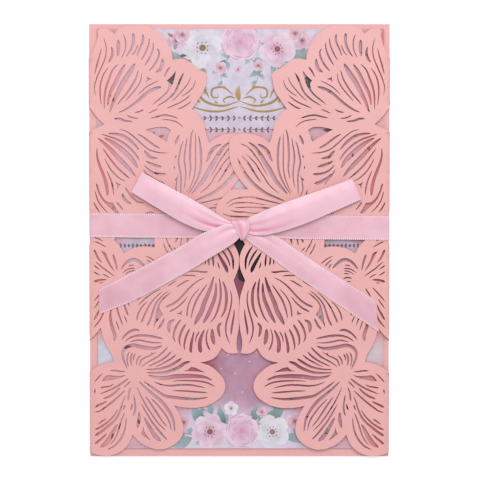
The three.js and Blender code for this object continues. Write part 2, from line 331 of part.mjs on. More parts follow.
function solidOf(geometry) {
  const bare = geometry.clone();
  bare.deleteAttribute('normal');
  bare.deleteAttribute('uv');
  const merged = mergeVertices(bare, 1e-5);
  return new wasm.Manifold(new wasm.Mesh({
    numProp: 3,
    vertProperties: Float32Array.from(merged.attributes.position.array),
    triVerts: Uint32Array.from(merged.index.array),
  }));
}

function geometryOf(solid) {
  const mesh = solid.getMesh();
  const geometry = new THREE.BufferGeometry();
  geometry.setAttribute('position', new THREE.BufferAttribute(Float32Array.from(mesh.vertProperties), 3));
  geometry.setIndex(new THREE.BufferAttribute(Uint32Array.from(mesh.triVerts), 1));
  geometry.computeVertexNormals();
  return geometry;
}

function joined(solids) {
  let list = solids;
  while (list.length > 1) {
    const next = [];
    for (let i = 0; i < list.length; i += 2) {
      next.push(i + 1 < list.length ? list[i].add(list[i + 1]) : list[i]);
    }
    list = next;
  }
  return list[0];
}

// A plate with the given outline in X and Y, from one height to another.
function plate(points, bottom, top) {
  const shape = new THREE.Shape(points.map(([x, y]) => new THREE.Vector2(x, y)));
  const geometry = new THREE.ExtrudeGeometry(shape, { depth: top - bottom, bevelEnabled: false, steps: 1 });
  geometry.translate(0, 0, bottom);
  return solidOf(geometry);
}

// A bar with the given section in X and Z, from one place along Y to another.
function bar(section, from, to, holes = []) {
  const shape = new THREE.Shape(section.map(([x, z]) => new THREE.Vector2(x, z)));
  shape.holes = holes.map((hole) => new THREE.Path(hole.map(([x, z]) => new THREE.Vector2(x, z))));
  const geometry = new THREE.ExtrudeGeometry(shape, { depth: to - from, bevelEnabled: false, steps: 1 });
  geometry.rotateX(Math.PI / 2);
  geometry.translate(0, to, 0);
  return geometry;
}

// A slit of the lace: a width, the place of its widest point along it from 0 to 1, and the points of the line
// it follows. It comes back as an outline with pointed ends, with few points, because each one costs eight
// triangles on the finished flap.
function slitOutline([width, belly, ...line]) {
  const points = [];
  for (let i = 0; i < line.length; i += 2) points.push(new THREE.Vector2(line[i], line[i + 1]));
  const lengths = [0];
  let turning = 0;
  for (let i = 1; i < points.length; i += 1) {
    lengths.push(lengths[i - 1] + points[i].distanceTo(points[i - 1]));
    if (i > 1) {
      const before = points[i - 1].clone().sub(points[i - 2]).angle();
      const after = points[i].clone().sub(points[i - 1]).angle();
      turning += Math.abs(((after - before + 3 * Math.PI) % (2 * Math.PI)) - Math.PI);
    }
  }
  const length = lengths[lengths.length - 1];
  const at = (distance) => {
    let i = 1;
    while (i < points.length - 1 && lengths[i] < distance) i += 1;
    const share = (distance - lengths[i - 1]) / (lengths[i] - lengths[i - 1]);
    const place = points[i - 1].clone().lerp(points[i], share);
    const along = points[i].clone().sub(points[i - 1]).normalize();
    return { place, across: new THREE.Vector2(-along.y, along.x) };
  };
  const sharePlaces = length < 11 && turning < 0.75 ? [0.5]
    : turning < 1.5 ? [0.24, 0.74] : [0.14, 0.32, 0.5, 0.68, 0.86];
  const halfWidth = (share) => {
    const rise = share < belly ? share / belly : (1 - share) / (1 - belly);
    return (width / 2) * Math.pow(Math.sin((Math.PI / 2) * Math.max(rise, 0.05)), 0.6);
  };
  const left = [];
  const right = [];
  for (const share of sharePlaces) {
    const { place, across } = at(share * length);
    const half = Math.max(halfWidth(share), 0.2);
    left.push([place.x + across.x * half, place.y + across.y * half]);
    right.push([place.x - across.x * half, place.y - across.y * half]);
  }
  const first = points[0];
  const last = points[points.length - 1];
  return [[first.x, first.y], ...left, [last.x, last.y], ...right.reverse()];
}

// One flap lying flat. Its fold is on the left for side -1 and on the right for side 1.
function flap(side, bottom, foldRadius) {
  const placed = (outline) => outline.map(([u, v]) => [
    side * (pageWidth / 2 - Math.max(u * pageWidth / drawnWidth, foldRadius)),
    v * pageHeight / drawnHeight - pageHeight / 2,
  ]);
  const sheet = plate(placed([...FLAP_EDGE, ...LOWER_NOTCH, ...UPPER_NOTCH]), bottom, bottom + jacketThickness);
  const cutters = [...SLITS.map(slitOutline), ...WINDOWS].map((outline) => (
    plate(placed(outline), bottom - jacketThickness, bottom + 2 * jacketThickness)));
  return sheet.subtract(joined(cutters));
}

// The half turn that joins a flap to the back panel, along one stretch of the fold.
function fold(side, from, to, bottom, top, inset) {
  const outer = (top - bottom) / 2;
  const inner = outer - jacketThickness;
  const middle = (top + bottom) / 2;
  const centre = pageWidth / 2 - inset - outer;
  const lead = 0.5;
  const turns = 4;
  const section = [[centre - lead, bottom]];
  for (let i = 0; i <= turns; i += 1) {
    const angle = -Math.PI / 2 + (Math.PI * i) / turns;
    section.push([centre + outer * Math.cos(angle), middle + outer * Math.sin(angle)]);
  }
  section.push([centre - lead, top], [centre - lead, top - jacketThickness]);
  for (let i = turns; i >= 0; i -= 1) {
    const angle = -Math.PI / 2 + (Math.PI * i) / turns;
    section.push([centre + inner * Math.cos(angle), middle + inner * Math.sin(angle)]);
  }
  section.push([centre - lead, bottom + jacketThickness]);
  const placed = section.map(([x, z]) => [side * x, z]);
  return solidOf(bar(placed, from, to));
}

function jacket() {
  const toPage = (v) => v * pageHeight / drawnHeight - pageHeight / 2;
  const lowRadius = lowerFlapTop / 2;
  const highRadius = upperFlapTop / 2;
  const half = pageHeight / 2;
  const low = bumpLow - half;
  const high = bumpHigh - half;

  // The back panel rises a little where the ribbon passes behind it.
  const profile = [
    [-half, 0], [low - bumpRamp, 0], [low, bandLift], [high, bandLift], [high + bumpRamp, 0], [half, 0],
    [half, jacketThickness], [high + bumpRamp, jacketThickness], [high, bandLift + jacketThickness],
    [low, bandLift + jacketThickness], [low - bumpRamp, jacketThickness], [-half, jacketThickness],
  ];
  const leftEdge = -pageWidth / 2 + lowRadius;
  const rightEdge = pageWidth / 2 - highRadius;
  const panel = bar(profile, 0, rightEdge - leftEdge);
  panel.rotateZ(Math.PI / 2);
  panel.translate(rightEdge, 0, 0);
  const pieces = [solidOf(panel)];

  // The stretches of fold between the flap's ends and notches, and the panel's bare edges between them.
  const lowest = toPage(FLAP_EDGE[FLAP_EDGE.length - 1][1]);
  const notchLow = toPage(LOWER_NOTCH[0][1]);
  const notchLowTop = toPage(LOWER_NOTCH[LOWER_NOTCH.length - 1][1]);
  const notchHigh = toPage(UPPER_NOTCH[0][1]);
  const notchHighTop = toPage(UPPER_NOTCH[UPPER_NOTCH.length - 1][1]);
  const highest = toPage(FLAP_EDGE[0][1]);
  for (const [side, top, radius] of [[-1, lowerFlapTop, lowRadius], [1, upperFlapTop, highRadius]]) {
    for (const [from, to] of [
      [lowest, notchLow], [notchLowTop, low - bumpRamp], [high + bumpRamp, notchHigh], [notchHighTop, highest],
    ]) {
      pieces.push(fold(side, from, to, 0, top, 0));
    }
    pieces.push(fold(side, low - bumpRamp, high + bumpRamp, bandLift, top, ribbonThickness + restClearance));
    for (const [from, to] of [[-half, lowest], [notchLow, notchLowTop], [notchHigh, notchHighTop], [highest, half]]) {
      const wide = radius + 0.5 - backPanelInset;
      const edge = new THREE.BoxGeometry(wide, to - from, jacketThickness);
      edge.translate(side * (pageWidth / 2 - backPanelInset - wide / 2), (from + to) / 2, jacketThickness / 2);
      pieces.push(solidOf(edge));
    }
  }
  pieces.push(flap(-1, lowerFlapBottom, lowRadius), flap(1, upperFlapBottom, highRadius));
  return joined(pieces);
}

function insertCard() {
  const geometry = new THREE.BoxGeometry(
    pageWidth - cardBorderLeft - cardBorderRight,
    pageHeight - cardBorderTop - cardBorderBottom,
    cardThickness,
  );
  geometry.translate(
    (cardBorderLeft - cardBorderRight) / 2,
    (cardBorderBottom - cardBorderTop) / 2,
    cardBottom + cardThickness / 2,
  );
  return geometry;
}

// A stretch of ribbon: its side view as a closed outline (place along it from 0 to 1, height), and the two
// edges it runs between in the plan, as pairs of points spread evenly along it.
function ribbonPiece(sideView, upperEdge, lowerEdge) {
  const spot = (edge, share) => {
    const scaled = Math.min(Math.max(share, 0), 1) * (edge.length - 1);
    const i = Math.min(Math.floor(scaled), edge.length - 2);
    const part = scaled - i;
    return [0, 1].map((axis) => edge[i][axis] * (1 - part) + edge[i + 1][axis] * part);
  };
  const geometry = bar(sideView, 0, 1);
  const position = geometry.attributes.position;
  for (let i = 0; i < position.count; i += 1) {
    const share = position.getX(i);
    const across = position.getY(i);
    const lower = spot(lowerEdge, share);
    const upper = spot(upperEdge, share);
    position.setX(i, lower[0] * (1 - across) + upper[0] * across);
    position.setY(i, lower[1] * (1 - across) + upper[1] * across);
  }
  // A piece that runs to the left is a mirrored one, so its triangles are turned to face outwards again.
  if (upperEdge[upperEdge.length - 1][0] < upperEdge[0][0]) {
    for (let i = 0; i < position.count; i += 3) {
      for (const axis of [0, 1, 2]) {
        const second = position.getComponent(i + 1, axis);
        position.setComponent(i + 1, axis, position.getComponent(i + 2, axis));
        position.setComponent(i + 2, axis, second);
      }
    }
  }
  return solidOf(geometry);
}

// The same for a strip of ribbon that only rises and falls: heights of its middle, spread evenly along it.
function stripView(heights) {
  const last = heights.length - 1;
  const under = heights.map((height, i) => [i / last, height - ribbonThickness / 2]);
  const over = heights.map((height, i) => [i / last, height + ribbonThickness / 2]);
  return [...under, ...over.reverse()];
}

function ribbon() {
  const knotX = knotRight;
  const half = pageHeight / 2;
  const knotY = (bandLeft + bandRight) / 2 - half - 0.2;
  const lowRun = lowerFlapTop + restClearance;
  const highRun = upperFlapTop + restClearance;
  const flapReach = (pageWidth / 2) * (73.4 / (drawnWidth / 2) - 1);
  const stepEnd = -flapReach - 0.8;
  const stepStart = stepEnd - bandStep;

  // The band, right round the jacket.
  const outside = pageWidth / 2;
  const inside = outside - ribbonThickness;
  const round = 0.45;
  const ringOutside = [
    [-outside + round, 0], [outside - round, 0], [outside, round], [outside, highRun + ribbonThickness - round],
    [outside - round, highRun + ribbonThickness], [stepEnd, highRun + ribbonThickness],
    [stepStart, lowRun + ribbonThickness], [-outside + round, lowRun + ribbonThickness],
    [-outside, lowRun + ribbonThickness - round], [-outside, round],
  ];
  const ringInside = [
    [-inside + round, ribbonThickness], [-inside, ribbonThickness + round],
    [-inside, lowRun - round], [-inside + round, lowRun], [stepStart + 0.1, lowRun], [stepEnd + 0.1, highRun],
    [inside - round, highRun], [inside, highRun - round], [inside, ribbonThickness + round],
    [inside - round, ribbonThickness],
  ];
  const band = bar(ringOutside, -ribbonWidth / 2, ribbonWidth / 2, [ringInside]);
  const at = band.attributes.position;
  for (let i = 0; i < at.count; i += 1) {
    const share = (at.getX(i) + outside) / pageWidth;
    at.setY(i, at.getY(i) + bandLeft * (1 - share) + bandRight * share - half);
  }
  const pieces = [solidOf(band)];

  // The tails leave from under the knot and lie down on the flaps.
  const bandTop = highRun + ribbonThickness;
  const rest = (top) => top + restClearance + ribbonThickness / 2;
  const tailRoot = rest(bandTop);
  const move = (edge) => edge.map(([x, y]) => [x + knotX, y + knotY]);
  pieces.push(ribbonPiece(
    stripView([tailRoot, tailRoot, tailRoot - 0.1, rest(lowerFlapTop) + 2 * tailLift, rest(lowerFlapTop) + tailLift,
      rest(lowerFlapTop) + tailLift, rest(lowerFlapTop) + tailLift]),
    ...LEFT_TAIL.map(move),
  ));
  pieces.push(ribbonPiece(
    stripView([tailRoot, tailRoot, tailRoot - 0.1, rest(upperFlapTop) + tailLift, rest(upperFlapTop) + tailLift,
      rest(upperFlapTop) + tailLift, rest(upperFlapTop) + tailLift]),
    ...RIGHT_TAIL.map(move),
  ));

  // Each loop is a flattened hairpin: out along the bottom, round its end and back over the top.
  const loopView = (low, outer) => {
    const t = ribbonThickness;
    const top = low + loopRise;
    const far = outer + loopRise * 0.55;
    return [
      [0, low], [0.35, low], [0.7, (low + outer) / 2], [0.94, outer], [0.985, outer + 0.3], [1, (outer + far) / 2],
      [0.985, far - 0.2], [0.94, far + t], [0.7, (top + far) / 2 + 0.5], [0.35, top + 0.3], [0, low + 1.5],
      [0, low + 1.5 - t], [0.35, top + 0.3 - t], [0.7, (top + far) / 2 + 0.5 - t], [0.935, far],
      [0.972, far - 0.25], [0.982, (outer + far) / 2], [0.972, outer + 0.4], [0.935, outer + t],
      [0.7, (low + outer) / 2 + t], [0.35, low + t], [0, low + t],
    ];
  };
  const loopRoot = bandTop + restClearance + 2 * ribbonThickness;
  pieces.push(ribbonPiece(
    loopView(loopRoot, loopRoot - 0.3),
    ...LEFT_LOOP.map(move),
  ));
  pieces.push(ribbonPiece(
    loopView(loopRoot + 0.1, loopRoot - 0.2),
    ...RIGHT_LOOP.map(move),
  ));

  // The knot.
  const knot = new THREE.SphereGeometry(0.5, 12, 7);
  knot.rotateX(Math.PI / 2);
  knot.scale(knotWidth, knotLength, knotHeight);
  knot.translate(knotX, knotY, highRun + 0.05 + knotHeight / 2);
  pieces.push(solidOf(knot));
  return joined(pieces);
}

const invitation = new THREE.Group();

const jacketMesh = new THREE.Mesh(
  geometryOf(jacket()),
  new THREE.MeshStandardMaterial({ color: 0xe8b5b4, roughness: 0.42, metalness: 0.08 }),
);
jacketMesh.name = 'jacket';

const cardMesh = new THREE.Mesh(
  insertCard(),
  new THREE.MeshStandardMaterial({ color: 0xd8d2dc, roughness: 0.6, metalness: 0 }),
);
cardMesh.name = 'insert_card';

const ribbonMesh = new THREE.Mesh(
  geometryOf(ribbon()),
  new THREE.MeshStandardMaterial({ color: 0xeebfcd, roughness: 0.35, metalness: 0 }),
);
ribbonMesh.name = 'ribbon';

invitation.add(jacketMesh, cardMesh, ribbonMesh);

export default invitation;
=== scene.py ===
import math

import bmesh
import bpy
import numpy as np
from bpy.props import FloatProperty, FloatVectorProperty, PointerProperty
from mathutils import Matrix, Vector
from mathutils.geometry import delaunay_2d_cdt
from mathutils.kdtree import KDTree


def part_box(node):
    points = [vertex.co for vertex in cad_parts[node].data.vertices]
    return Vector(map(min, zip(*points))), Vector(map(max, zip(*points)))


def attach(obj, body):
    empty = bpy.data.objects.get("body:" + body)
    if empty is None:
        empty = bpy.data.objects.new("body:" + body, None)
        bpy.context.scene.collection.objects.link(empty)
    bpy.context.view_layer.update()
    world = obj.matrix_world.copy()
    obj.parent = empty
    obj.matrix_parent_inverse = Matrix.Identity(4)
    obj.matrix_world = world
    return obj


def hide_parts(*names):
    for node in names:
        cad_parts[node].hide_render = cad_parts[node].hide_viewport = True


# A wedding invitation lying flat: a pearly card jacket whose two flaps are laser-cut into roses and ferns, a
# printed card inside it, and a satin ribbon tied round it in a bow. Lengths in the tables are millimetres.
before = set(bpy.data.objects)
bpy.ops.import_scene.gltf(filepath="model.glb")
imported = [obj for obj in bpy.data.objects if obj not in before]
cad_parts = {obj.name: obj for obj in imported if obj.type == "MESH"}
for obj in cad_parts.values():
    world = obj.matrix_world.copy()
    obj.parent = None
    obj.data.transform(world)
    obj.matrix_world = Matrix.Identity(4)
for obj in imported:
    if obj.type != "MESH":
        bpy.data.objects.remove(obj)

bl_info = {
    "name": "Laser-cut wedding invitation",
    "version": (1, 0, 0),
    "blender": (4, 5, 0),
    "location": "View3D > Sidebar > Invitation",
    "description": "Cuts the jacket, prints the card and ties the ribbon of a wedding invitation",
    "category": "Object",
}

MM = 0.001
JACKET_LOW, JACKET_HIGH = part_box("jacket")
CARD_LOW, CARD_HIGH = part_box("insert_card")
PAGE_WIDTH = (JACKET_HIGH.x - JACKET_LOW.x) / MM
PAGE_HEIGHT = (JACKET_HIGH.y - JACKET_LOW.y) / MM
UPPER_FLAP_TOP = JACKET_HIGH.z / MM
CARD_TOP = CARD_HIGH.z / MM


def as_light(shares):
    """Amounts of light from a screen's values between 0 and 1."""
    return np.where(shares <= 0.04045, shares / 12.92, ((shares + 0.055) / 1.055) ** 2.4)


def paint(red, green, blue):
    """The colour that a screen shows with these three values from 0 to 255."""
    return tuple(as_light(np.array([red, green, blue]) / 255).tolist())


# Outlines in the lace, on a page of this size: across from the flap's fold, then up from the page's foot.
DRAWN_WIDTH = 127
DRAWN_HEIGHT = 183
# The flap's edge, from the top of the fold round to its foot.
FLAP_EDGE = [
  [0, 168.3], [1.5, 170.5], [2.8, 173.5], [3.7, 176.5], [4.0, 178.5], [3.6, 180], [5.5, 181.4], [7.7, 181],
  [11, 178.8], [12.8, 181], [15, 182], [20, 182.4], [24, 182.2], [26.5, 181.2], [29, 179.6], [31, 178],
  [32.2, 176.5], [33.5, 174.5], [34.5, 172.3], [35.2, 170], [35.4, 167.8], [37.5, 168.3], [40, 168.4],
  [42, 167.3], [45, 165.2], [47.5, 163.4], [49.3, 162.6], [49.7, 161.5], [49.5, 159], [48.8, 155.5],
  [47.8, 153.5], [45.8, 150.5], [43.5, 147.2], [45.5, 146], [47.2, 143.8], [48.6, 141], [49.3, 138],
  [49.9, 135.3], [50.8, 133], [53, 134.6], [56, 136.1], [60, 136.9], [64, 136.6], [66.5, 135.7],
  [67.6, 133.5], [67.8, 130], [67.6, 127], [67, 124.5], [65.8, 121.3], [64.2, 118.8], [62.2, 116.2],
  [59.8, 113.4], [64, 113.4], [67.3, 113.2], [70.1, 110.3], [72.9, 106.9], [73.4, 104.5], [73, 102],
  [71.5, 99.3], [68.9, 96.6], [65.5, 94], [62.3, 92.3], [61.1, 90.3], [62.4, 87.9], [63.1, 86.1],
  [63.35, 85], [63.4, 82.7], [63.2, 80.5], [62.6, 78.6], [61.9, 76.9], [61.1, 75], [61.5, 73.6],
  [62.2, 71.3], [62.9, 69], [63.3, 67], [63.4, 65.5], [63.4, 56], [63.1, 53.4], [62.5, 50.6],
  [62.3, 48.3], [62.5, 46], [63, 44.2], [61.2, 43.9], [59, 44.1], [57.3, 45], [56, 46.3], [55.2, 44.9],
  [54, 43.1], [52, 41.5], [49.3, 40.5], [46.8, 40.1], [50.9, 38.7], [54.5, 35.9], [56.6, 33.4],
  [57.5, 30.6], [57.3, 28.2], [55.9, 25.7], [53.4, 23.6], [50.2, 21.9], [46.7, 21], [42.5, 20.8],
  [38.8, 21.1], [35.9, 21.7], [37.5, 19.2], [38.7, 16.5], [39.5, 14], [39.8, 11.8], [39.5, 9.5],
  [38.5, 7.6], [37, 6], [35.2, 4.7], [32.8, 3.6], [30, 3.1], [27, 3.4], [24.6, 4.2], [22, 5.6],
  [20, 7.3], [18.2, 9.4], [17.3, 7], [16.3, 5.1], [14, 2.8], [11.8, 1.4], [9.5, 0.6], [7.2, 0.3],
  [4.8, 0.5], [2.4, 1], [0, 1.9],
]
# The notches in the fold, one low down and one high up.
LOWER_NOTCH = [
  [0, 35.8], [3.4, 38.4], [6.7, 39.6], [10.3, 40.4], [9.9, 42.3], [9.2, 43.9], [7.6, 46.5], [6.4, 49],
  [5.4, 52.4], [4.8, 54.8], [4, 53.8], [2, 51.5], [0, 49.6],
]
UPPER_NOTCH = [
  [0, 137.5], [2.2, 138.8], [4.5, 139.8], [6.6, 140.8], [4, 143.2], [2.3, 145.3], [1, 147.2], [0, 148.7],
]
# Slits of the lace, petal by petal from the top: a width, the place of the widest point along the slit from
# 0 to 1, and the points of the line that it follows.
CREST = [
  [0.6, 0.6, 5.5, 172.9, 4.6, 169.3, 3.5, 165.5, 2.5, 161.7],
  [0.5, 0.5, 6.3, 177.5, 7.4, 173.5, 7.1, 169, 5.3, 164.5, 3.3, 159.8, 2.4, 156, 2.9, 152.6],
  [1.0, 0.62, 9.6, 173.5, 10.1, 170.5, 9.4, 168.3, 8.2, 166.7],
  [1.4, 0.4, 12.5, 176.4, 12.6, 173, 12.3, 169.2],
  [0.5, 0.4, 14.7, 178.8, 15.6, 175.5, 15.4, 172, 14.6, 170, 13.6, 168.5],
  [1.1, 0.12, 18.8, 179.2, 18.9, 175.5, 18, 172.5, 16.8, 170.5, 15.7, 169],
  [0.4, 0.5, 20.8, 174.4, 20, 172.2, 19.2, 170.7, 18, 169.7],
  [0.8, 0.2, 22.8, 178.8, 23, 176.2, 22, 173.5, 21, 171.3, 20.3, 169.3],
  [0.6, 0.6, 25.6, 177.3, 25.4, 174.5, 24.3, 171.5, 23.3, 169.5, 22.1, 167.6],
  [0.7, 0.6, 27.2, 175.3, 27.2, 173, 26.3, 170, 25, 167.5, 23.7, 165.5],
  [0.8, 0.5, 28.9, 172.8, 29.7, 171.2, 29, 168, 27.3, 165.2, 25.3, 163],
  [1.4, 0.5, 31.2, 168.5, 31, 165.8, 30.1, 163.7, 28.2, 162.6],
  [0.7, 0.3, 34.5, 165, 33.3, 163.5, 32.4, 161.9, 31.8, 160.5],
]
CUP = [
  [0.6, 0.5, 8.4, 164.8, 6.3, 161.7, 5.1, 158, 4.8, 154.5, 5, 151.5, 5.4, 148.6],
  [0.8, 0.5, 12.6, 166.2, 10.4, 164, 8.7, 160, 7.3, 156, 6.7, 152.5, 6.6, 149.5, 6.6, 146.8],
  [1.4, 0.35, 15.6, 166.2, 13.5, 162.8, 11.3, 158.3, 9.3, 154.5, 8.4, 151.5, 8, 148.5],
  [1.9, 0.27, 19.6, 166.5, 17, 162, 14.8, 158.8, 12.3, 154, 10.5, 150.5, 9.5, 147.8, 8.7, 145.7],
  [0.75, 0.5, 21, 163.7, 20, 160.3, 17.5, 155.8, 15.5, 153, 13.5, 150.8, 12, 148.9],
  [0.5, 0.5, 22.3, 162.5, 22, 159.5, 20.3, 156.2, 18, 153.4, 16.5, 151.7, 15.3, 150.3],
  [0.4, 0.5, 29.5, 159.2, 27, 158, 24, 156.2, 22.3, 154.6, 20.6, 153],
  [1.2, 0.15, 30.8, 156.6, 28, 155.8, 25.2, 154.4, 22.5, 152.2, 20, 150, 17.5, 148.2, 15.2, 146.8,
   12.4, 145.7],
  [0.55, 0.4, 19.3, 145.8, 21, 146, 23.5, 147.1],
  [0.4, 0.5, 24.8, 145.3, 26.8, 146.2, 29.3, 147.3],
  [0.5, 0.4, 16, 144.8, 17.5, 143.9, 19.2, 143.4, 21.3, 143.3],
  [0.9, 0.3, 10.6, 143.2, 12.9, 143.1, 15, 142.3, 18.7, 142],
]
SIDE_PETAL = [
  [0.8, 0.2, 40.2, 162.6, 38.8, 160, 37.8, 157.3, 36.9, 155.2, 35.3, 153, 33, 151, 30.5, 149.4, 28.7, 148.3],
  [0.4, 0.5, 43.2, 161, 42.2, 158.5, 40.2, 155.8, 38, 153.3, 36.3, 151.6, 34.8, 150.5],
  [0.35, 0.5, 32.2, 148.8, 33.2, 149.6],
  [0.4, 0.5, 45, 159.5, 44.5, 157.3, 43, 155.2, 41.2, 153.8, 39, 152.4],
  [0.5, 0.5, 43.1, 153.3, 41, 151.5, 38.5, 149.9, 35.5, 148.6, 32.7, 147.4],
  [0.6, 0.6, 43.4, 150.5, 41.3, 149, 39.2, 147.7, 37.4, 147.3],
  [0.7, 0.45, 26, 143.4, 28.5, 143.9, 31.5, 144.6, 34, 144.4, 36, 143.9, 38, 143.2],
  [0.4, 0.5, 30.6, 142.9, 34, 142.6, 36.5, 142, 38.5, 140.8, 40, 139.4],
]
LEFT_FAN = [
  [0.55, 0.5, 12.6, 138.7, 15.5, 138, 18.5, 136, 22, 132.8, 25.5, 130.1, 29.5, 128.9, 33.5, 128.7],
  [0.8, 0.6, 20.4, 136.8, 22.5, 135.7, 25, 133.8, 27.5, 132, 30.2, 130.6],
  [1.2, 0.5, 8, 137, 11.5, 136.7, 14.5, 135.9, 17, 134.3, 19.2, 132.3, 21.3, 129.9],
  [0.85, 0.6, 5.2, 136.7, 8, 135.8, 11.5, 134.6, 14.7, 132.8, 17.5, 130.5, 19.8, 128, 21.4, 125.5],
  [1.9, 0.6, 6.4, 135.2, 9.5, 133.5, 13, 131, 16.3, 128, 18.7, 125.5, 20.7, 122.2],
  [1.7, 0.55, 3.7, 135.1, 6.3, 133, 9, 130.4, 11.8, 127.3, 14.8, 124.3, 17.5, 121.5, 19.9, 118.6],
  [0.8, 0.55, 5.8, 130.9, 7.6, 128.2, 9.7, 125.3, 11.7, 122.8, 14, 120.6, 17.5, 117.8],
  [0.5, 0.5, 6.6, 126.7, 7.9, 124, 9.6, 121.3, 11.8, 119, 13.5, 117.7, 15.7, 116.8],
  [1.2, 0.85, 3.5, 131, 3.5, 127.5, 4.1, 124.8, 5.2, 121.8, 6.3, 119, 7.2, 116, 7.7, 113, 7.8, 110.5],
  [0.6, 0.7, 7.5, 121.4, 8.6, 119, 9.6, 116.3, 10.2, 113.5, 10.5, 110.9],
  [1.2, 0.35, 23.2, 129.9, 24.5, 128.3, 25.5, 127.1, 27.3, 126.6, 29.2, 126.4],
  [1.1, 0.6, 23.9, 125.4, 25.5, 124.5, 27.5, 123.7, 29.2, 123.2, 30.8, 122.8],
  [0.9, 0.97, 23.3, 123.9, 24.8, 122.1, 26.8, 120.7, 29, 120, 30.8, 119.8, 32.7, 119.8],
  [0.6, 0.5, 23, 121.9, 24.6, 119.3, 26, 117.6, 27.7, 115.2],
  [1.3, 0.85, 24.6, 120.1, 26.2, 118.4, 28.3, 117, 30, 116.2, 32, 115.8],
  [0.5, 0.5, 1.7, 120.3, 2.4, 119.1],
  [0.5, 0.5, 17.1, 115.4, 18.3, 114.7],
  [0.5, 0.4, 2.5, 112.8, 3.1, 110.8, 3.8, 108.7, 5, 106.7, 6.5, 105, 8.2, 103.4],
  [0.6, 0.5, 1.9, 108.2, 3, 106, 4.8, 103.4],
  [1.2, 0.4, 14, 111.7, 14.5, 110.3, 15.8, 108.4, 18, 107.2],
  [0.8, 0.35, 15.2, 114.4, 16.5, 112.4, 18, 110.2, 20, 108.4, 21.5, 107.8, 23.3, 107.7],
  [0.6, 0.4, 11.6, 108.2, 13, 106.4, 14.5, 104.6],
  [0.5, 0.5, 23.5, 103.2, 26, 103.8, 28, 103.3],
]
TALL_PETAL = [
  [1.0, 0.6, 38.2, 136.5, 37.3, 134.4, 36.4, 132.2],
  [0.7, 0.4, 39.9, 134, 39, 131.5, 38.3, 128, 37.8, 125.2, 38.2, 122.3, 38.8, 119.5, 38.8, 116, 38.7, 111],
  [0.6, 0.4, 41.5, 135.3, 40.9, 131.5, 40.4, 128, 40.3, 125.5, 40.7, 122.5, 40.9, 119.5, 40.6, 116.5,
   40.1, 113.7],
  [0.8, 0.4, 44, 138.9, 43.3, 136.5, 42.9, 133, 42.7, 129, 42.7, 125.5, 42.9, 122.5, 42.6, 120, 42.2, 117.6],
  [0.5, 0.5, 45, 137.3, 45, 133, 45, 128, 45, 124, 44.8, 121, 44.2, 118, 43.2, 115.3, 42.2, 113.2, 41, 112],
  [0.9, 0.35, 46.2, 136, 47, 132, 47.3, 128, 47.3, 124.5, 47, 121.5, 46, 118.3, 44.5, 115.3, 43, 112.9,
   41.8, 111.3],
  [0.5, 0.5, 37, 128, 36.3, 126.4],
  [0.45, 0.5, 35, 125.1, 35, 123.8],
  [0.45, 0.5, 36, 123.4, 36.1, 121.7],
]
LEANING_PETAL = [
  [1.3, 0.45, 56, 132.6, 53.2, 131, 51.2, 128.8, 50.4, 126.5, 49.4, 124.8],
  [1.7, 0.55, 59.8, 133.4, 57.3, 131.6, 55.4, 129.2, 52.8, 125, 50.5, 121.3, 48.3, 117.3, 46, 114.5,
   43.2, 111.4],
  [0.55, 0.15, 63.1, 132.6, 61, 131.8, 59, 130.3, 57, 127.8, 55, 125, 53, 121.5, 51.2, 118.7],
  [0.5, 0.5, 60.9, 128.6, 58.3, 126, 56.3, 123.7, 55.2, 121.7, 53.3, 119, 51.5, 116, 49.3, 113.7,
   46.6, 111.6],
  [0.8, 0.35, 62.7, 127.7, 60.5, 125.3, 58.7, 122.8, 57.3, 120.5, 55.8, 118.2, 54.2, 116.2],
  [1.3, 0.45, 64.3, 126.8, 63.1, 123.8, 61.3, 120.4, 58.8, 117, 55.8, 114.2, 52, 111.6, 48.8, 110.2,
   44.2, 108.4],
  [0.6, 0.6, 69.5, 106.9, 66.7, 108.9, 62.7, 109.9, 58.8, 110.1, 55.7, 109.6, 51.7, 108.6, 45.5, 107.2],
  [0.45, 0.5, 68.5, 105.8, 65.9, 107.4, 62.4, 107.8, 58.8, 107.7, 52, 106.8],
  [0.6, 0.9, 65.9, 105.7, 58.8, 105.8, 53.4, 105.6, 50.4, 105.4],
  [0.55, 0.35, 67.6, 104.6, 64.4, 103.9, 61.6, 103.8, 57, 103.3, 54.8, 103.6],
  [0.7, 0.5, 70.8, 103.3, 67.8, 102.2, 63.9, 101.9, 58.8, 101.8],
]
